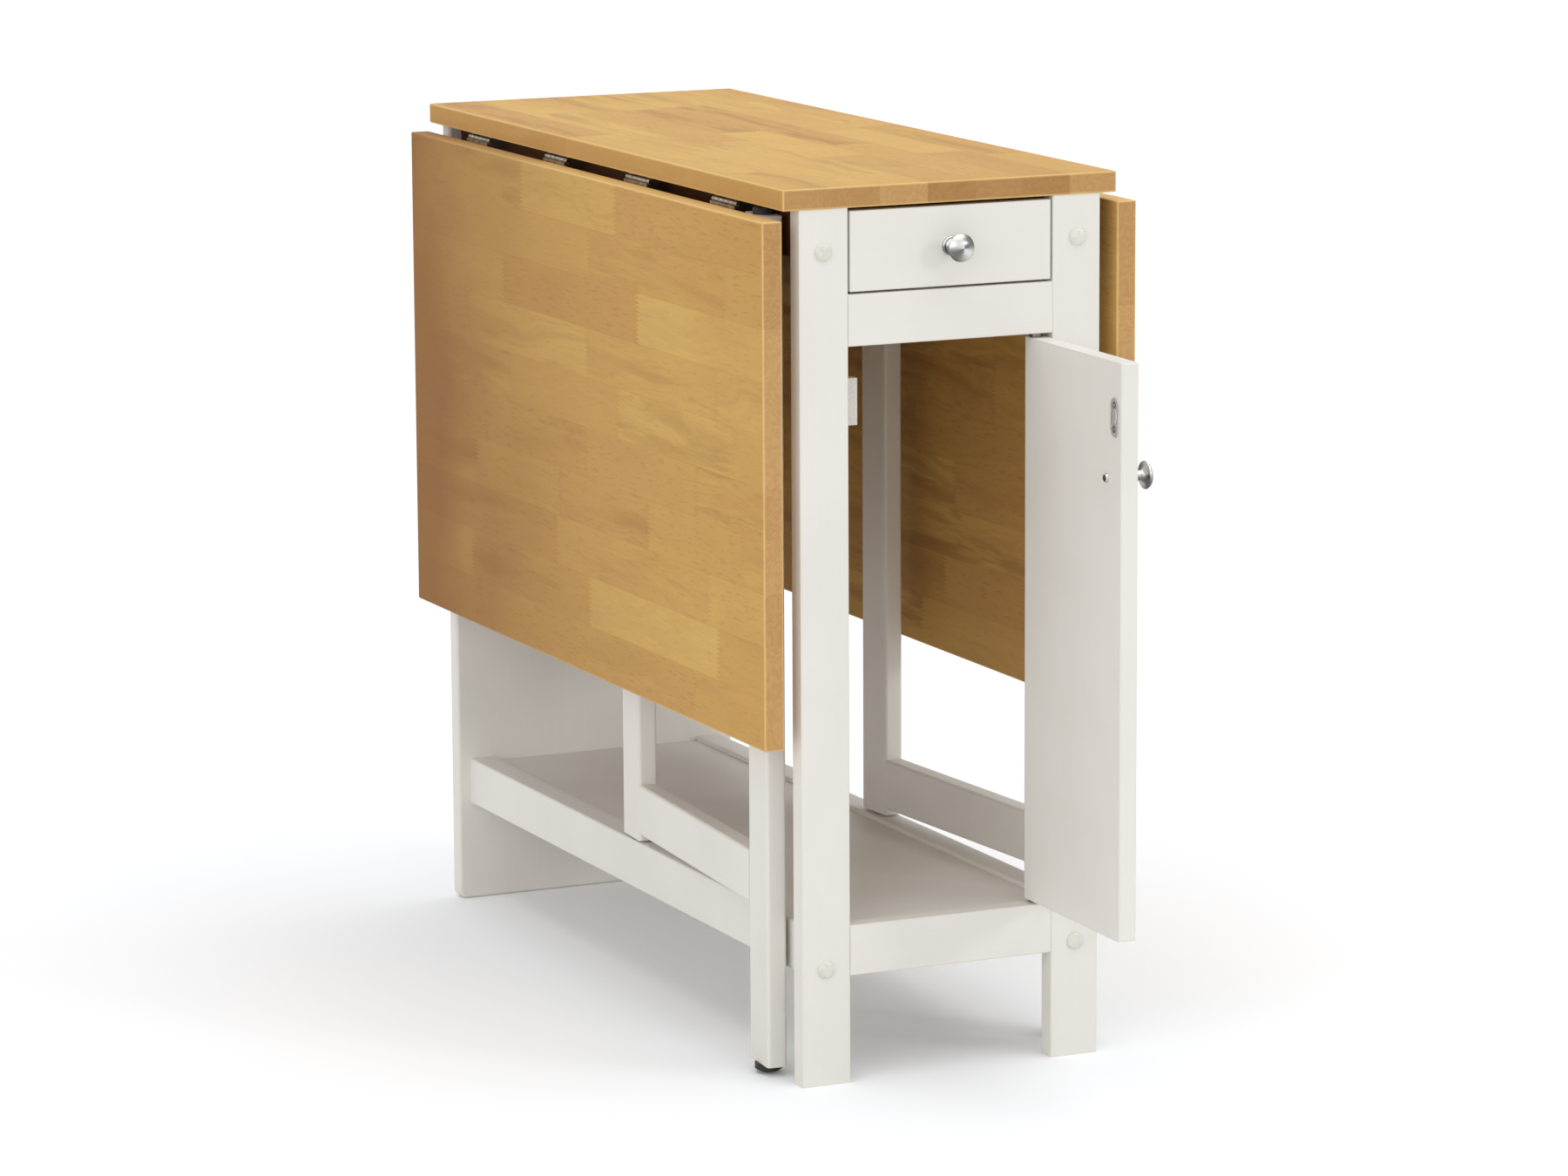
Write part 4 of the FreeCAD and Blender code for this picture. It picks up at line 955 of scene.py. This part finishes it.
strike_low, strike_high = shut_box("door_strike_plate")
half_width, half_length = (strike_high.x - strike_low.x) / 2, (strike_high.z - strike_low.z) / 2
thick = strike_high.y - strike_low.y
boss_width, boss_length = half_width * BOSS_WIDTH_SHARE, half_length * BOSS_LENGTH_SHARE
groove_width, groove_length = boss_width + GROOVE_WIDTH, boss_length + GROOVE_WIDTH
strike_outlines = [
    oval_ring(half_width, half_length, 0.0),
    oval_ring(half_width, half_length, thick - STRIKE_EASE),
    oval_ring(half_width - STRIKE_EASE, half_length - STRIKE_EASE, thick),
    oval_ring(groove_width, groove_length, thick),
    oval_ring(groove_width, groove_length, thick - GROOVE_DEPTH),
    oval_ring(boss_width, boss_length, thick - GROOVE_DEPTH),
    oval_ring(boss_width, boss_length, thick + BOSS_RISE - STRIKE_EASE),
    oval_ring(boss_width - STRIKE_EASE, boss_length - STRIKE_EASE, thick + BOSS_RISE),
]
inwards = Matrix.Rotation(math.radians(-90), 4, "X")
strike_seat = swing @ seat_at(strike_low, strike_high, strike_low.y) @ inwards
strike_mesh = stacked("strike_plate_pressed", strike_outlines, strike_seat, tumbled_zinc())
add_piece(strike_mesh, "door", "door_strike_plate")
add_screws("door_strike_screws", "door", into_door, FLAT_SIZES)


# Knobs: turned brass with a flange, a waisted stem and a domed face, brushed and plated satin nickel.
# Each is held by a pan-headed screw through the drawer front or the door, with its head on the inside.
KNOB_STEPS = 56
FLANGE_SHARE = 0.7
STEM_SHARE = 0.37
LIP_SHARE = 0.1
RIM_SHARE = 0.82
NICKEL_PAINTED_BRIGHT = tone(216, 215, 213)
NICKEL_PAINTED_DARK = tone(112, 112, 111)
NICKEL_ANISOTROPY = 0.6
NICKEL_BRUSHING = (6.0, 260.0, 1.0)
NICKEL_REFLECTION_TURN = 0.6
NICKEL_RAGGED = 2.4
NICKEL_BRUSH_SHARE = 0.3
NICKEL_BAND = (0.15, 0.8)
NICKEL_ROUGHNESS = (0.2, 0.16)
NICKEL_RELIEF = (0.08, 0.0001)
PAN_SIZES = {
    "Face Radius": 0.0031,
    "Seat Radius": 0.004,
    "Head": 0.0022,
    "Shank Radius": 0.002,
    "Length": 0.022,
    "Slot": 0.0011,
    "Slot Depth": 0.0012,
}


def brushed_nickel():
    """Brush marks round the turning, and a painted reflection: two bright and two dark wedges on the face.
    """
    constants = {"Metallic": 1.0, "Anisotropic": NICKEL_ANISOTROPY}
    material, shader, place = start_material("satin_nickel", constants)
    turning = Shade(place.tree, place.tree.nodes.new("ShaderNodeUVMap").outputs["UV"])
    brushing = turning.stretched(NICKEL_BRUSHING).noise(1.0, 3.0)
    angle = turning.axes()[0] * (2 * math.pi)
    # The wedges are a painted reflection, with the brush marks mixed into them
    painted_reflection = angle.math("COSINE", angle * 2.0 + brushing * NICKEL_RAGGED + NICKEL_REFLECTION_TURN) * 0.5 + 0.5
    reflection_and_brushing = painted_reflection.blended(brushing, NICKEL_BRUSH_SHARE).fade(*NICKEL_BAND)
    reflection_and_brushing.mix(NICKEL_PAINTED_BRIGHT, NICKEL_PAINTED_DARK).feeds(shader, "Base Color")
    brushing.spread(*NICKEL_ROUGHNESS).feeds(shader, "Roughness")
    brushing.bump(*NICKEL_RELIEF).feeds(shader, "Normal")
    return material


def arc(middle, radius, start, end, steps):
    """Points of an arc in the (radius, height) plane, angles in degrees."""
    angles = [math.radians(start + (end - start) * i / steps) for i in range(steps + 1)]
    return [(middle[0] + radius * math.cos(a), middle[1] + radius * math.sin(a)) for a in angles]


def lathe(name, outline, placing, finish):
    """Turn an outline of (radius, height) points about Z; its UV runs round and along the turning."""
    shape = bmesh.new()
    uv = shape.loops.layers.uv.new("turning")
    angles = [2 * math.pi * i / KNOB_STEPS for i in range(KNOB_STEPS)]
    rings = []
    for radius, height in outline:
        points = [(radius * math.cos(a), radius * math.sin(a), height) for a in angles]
        rings.append([shape.verts.new(point) for point in points])
    for level, (lower, upper) in enumerate(zip(rings, rings[1:])):
        for i in range(KNOB_STEPS):
            j = (i + 1) % KNOB_STEPS
            face = shape.faces.new((lower[i], lower[j], upper[j], upper[i]))
            spans = ((i, level), (i + 1, level), (i + 1, level + 1), (i, level + 1))
            for loop, (step, rise) in zip(face.loops, spans):
                loop[uv].uv = (step / KNOB_STEPS, rise / len(outline))
    close_ends(shape, rings)
    return finished(name, shape, placing, finish)


def knob_outline(reach, radius):
    """From the flange on the board out to the middle of the domed face."""
    flange, stem, lip = radius * FLANGE_SHARE, radius * STEM_SHARE, radius * LIP_SHARE
    fillet, throat, drop = lip * 2, lip * 4, lip * 5.6
    rim_height = reach * RIM_SHARE
    crown_rise = reach - rim_height
    ball = (radius ** 2 + crown_rise ** 2) / (2 * crown_rise)
    half_angle = math.degrees(math.asin((radius - lip) / ball))
    outline = [(flange, 0.0)] + arc((flange - lip, lip), lip, 0, 90, 6)
    outline += arc((stem + fillet, throat), fillet, 270, 180, 8)
    outline += arc((stem + throat, rim_height - drop), throat, 180, 100, 10)
    outline += arc((radius - lip, rim_height - lip), lip, -80, 60, 8)
    outline += arc((0.0, reach - ball), ball, 90 - half_angle, 89.5, 14)
    return outline


outwards = Matrix.Rotation(math.radians(90), 4, "X")
satin_nickel = brushed_nickel()
knob_low, knob_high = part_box("drawer_knob")
knob_profile = knob_outline(knob_high.y - knob_low.y, (knob_high.x - knob_low.x) / 2)
shut_low, shut_high = shut_box("door_knob")
knob_seats = {
    "drawer": seat_at(knob_low, knob_high, knob_high.y),
    "door": swing @ seat_at(shut_low, shut_high, shut_high.y),
}
for body, seat in knob_seats.items():
    knob_mesh = lathe(f"{body}_knob_turned", knob_profile, seat @ outwards, satin_nickel)
    add_piece(knob_mesh, body, f"{body}_knob")
add_screws("drawer_knob_screw", "drawer", (0.0, -1.0, 0.0), PAN_SIZES)
add_screws("door_knob_screw", "door", into_door, PAN_SIZES)


# Door catch: a housing moulded in white plastic with a magnet in its nose.
# It sits behind the left post, screwed on from inside.
CATCH_LIGHT = tone(226, 223, 215)
CATCH_DARK = tone(214, 210, 201)
CATCH_GLOSS = 0.4
CATCH_PEBBLES = 700.0
CATCH_BAND = (0.35, 0.65)
CATCH_ROUGHNESS = (0.45, 0.15)
CATCH_RELIEF = (0.1, 0.0002)


def pebbled_plastic():
    material, shader, place = start_material("catch_plastic", {"Specular IOR Level": CATCH_GLOSS})
    pebbles = place.noise(CATCH_PEBBLES, 2.0)
    pebbles.fade(*CATCH_BAND).mix(CATCH_LIGHT, CATCH_DARK).feeds(shader, "Base Color")
    pebbles.spread(*CATCH_ROUGHNESS).feeds(shader, "Roughness")
    pebbles.bump(*CATCH_RELIEF).feeds(shader, "Normal")
    return material


dress("door_catch", pebbled_plastic())
add_screws("door_catch_screws", "carcass", (0.0, -1.0, 0.0), FLAT_SIZES)


# Floor: a wide pale sweep. The camera and the bright metal see it a little lighter than it bounces,
# so it reads as white where no shadow falls.
FLOOR_HALF = 60.0
FLOOR_BOUNCE = (0.84, 0.84, 0.84, 1.0)
FLOOR_SEEN = (0.96, 0.975, 1.0, 1.0)
FLOOR_LIFT = 0.04
PURE_WHITE = (1.0, 1.0, 1.0, 1.0)


def seen_directly(tree):
    """1 for what the camera, a mirror or a glass sees, 0 for light that bounces."""
    path = tree.nodes.new("ShaderNodeLightPath")
    names = ("Is Camera Ray", "Is Glossy Ray", "Is Transmission Ray")
    camera_ray, glossy_ray, through_ray = (Shade(tree, path.outputs[name]) for name in names)
    return camera_ray.most(glossy_ray).most(through_ray)


def floor_paint():
    material = bpy.data.materials.new("studio_floor_paint")
    material.use_nodes = True
    tree = material.node_tree
    tree.nodes.clear()
    direct = seen_directly(tree)
    matt = direct.node("ShaderNodeBsdfDiffuse", {}, {"Color": FLOOR_BOUNCE})
    bright = direct.node("ShaderNodeBsdfDiffuse", {}, {"Color": FLOOR_SEEN})
    lift = direct.node("ShaderNodeEmission", {}, {"Color": PURE_WHITE, "Strength": FLOOR_LIFT})
    lifted = direct.node("ShaderNodeAddShader", {}, {0: bright, 1: lift})
    surface = direct.node("ShaderNodeMixShader", {}, {0: direct, 1: matt, 2: lifted})
    surface.feeds(tree.nodes.new("ShaderNodeOutputMaterial"), "Surface")
    return material


corner_signs = ((-1, -1), (1, -1), (1, 1), (-1, 1))
floor_corners = [(x * FLOOR_HALF, y * FLOOR_HALF, cad_low[2]) for x, y in corner_signs]
floor_mesh = bpy.data.meshes.new("studio_floor")
floor_mesh.from_pydata(floor_corners, [], [(0, 1, 2, 3)])
floor_mesh.materials.append(floor_paint())
floor = bpy.data.objects.new("studio_floor", floor_mesh)
bpy.context.scene.collection.objects.link(floor)
floor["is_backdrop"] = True


# Light: an even white room, a broad soft lamp overhead and two weaker ones low at the left and the right.
# The overhead lamp sets the shadow on the floor and the left one brightens the upright faces; the right
# one is small, so the drawer's knob throws a shadow.
ROOM_LIGHT = 0.55
LAMPS = {
    "overhead_lamp": (1.34, math.radians(70), Vector((0.1, -0.15, 1.0))),
    "left_lamp": (0.92, math.radians(60), Vector((-0.77, -0.55, 0.22))),
    "right_lamp": (0.38, math.radians(13), Vector((0.88, -1.0, 0.42))),
}
world = bpy.data.worlds.new("studio")
bpy.context.scene.world = world
world.use_nodes = True
room = world.node_tree.nodes["Background"]
seen_directly(world.node_tree).spread(ROOM_LIGHT, 1.0 - ROOM_LIGHT).feeds(room, "Strength")
room.inputs["Color"].default_value = PURE_WHITE
for name, (strength, width, source) in LAMPS.items():
    lamp = bpy.data.lights.new(name, "SUN")
    lamp.energy = strength
    lamp.angle = width
    stand = bpy.data.objects.new(name, lamp)
    stand.rotation_euler = source.to_track_quat("Z", "Y").to_euler()
    bpy.context.scene.collection.objects.link(stand)


# Camera: a long lens about 1.35 m above the floor, looking past the left front corner.
# Its place is measured from the point on the floor under the middle of the top.
LENS = 139.04
SENSOR = 36.0
FAR_END = 200.0
YAW, PITCH, ROLL = (math.radians(angle) for angle in (24.667, 10.378, -0.304))
CAMERA_FROM_TOP = Vector((-2.2403, -4.9367, 1.3495))
top_low, top_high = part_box("top_board")
under_top = Vector((0.0, (top_low.y + top_high.y) / 2, 0.0))
forward = Vector((math.sin(YAW) * math.cos(PITCH), math.cos(YAW) * math.cos(PITCH), -math.sin(PITCH)))
level = Vector((math.cos(YAW), -math.sin(YAW), 0.0))
upward = level.cross(forward)
image_right = level * math.cos(ROLL) + upward * math.sin(ROLL)
image_up = upward * math.cos(ROLL) - level * math.sin(ROLL)
aim = Matrix((image_right, image_up, -forward)).transposed().to_4x4()
lens = bpy.data.cameras.new("camera")
lens.sensor_width = SENSOR
lens.lens = LENS
lens.clip_end = FAR_END
camera = bpy.data.objects.new("camera", lens)
camera.matrix_world = Matrix.Translation(CAMERA_FROM_TOP + under_top) @ aim
bpy.context.scene.collection.objects.link(camera)
bpy.context.scene.camera = camera
bpy.context.scene.view_settings.view_transform = "Standard"

# Sizes: the box of the dressed table, beside the box of the solids taken at the start. The
# second may not reach past the first.
low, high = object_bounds()
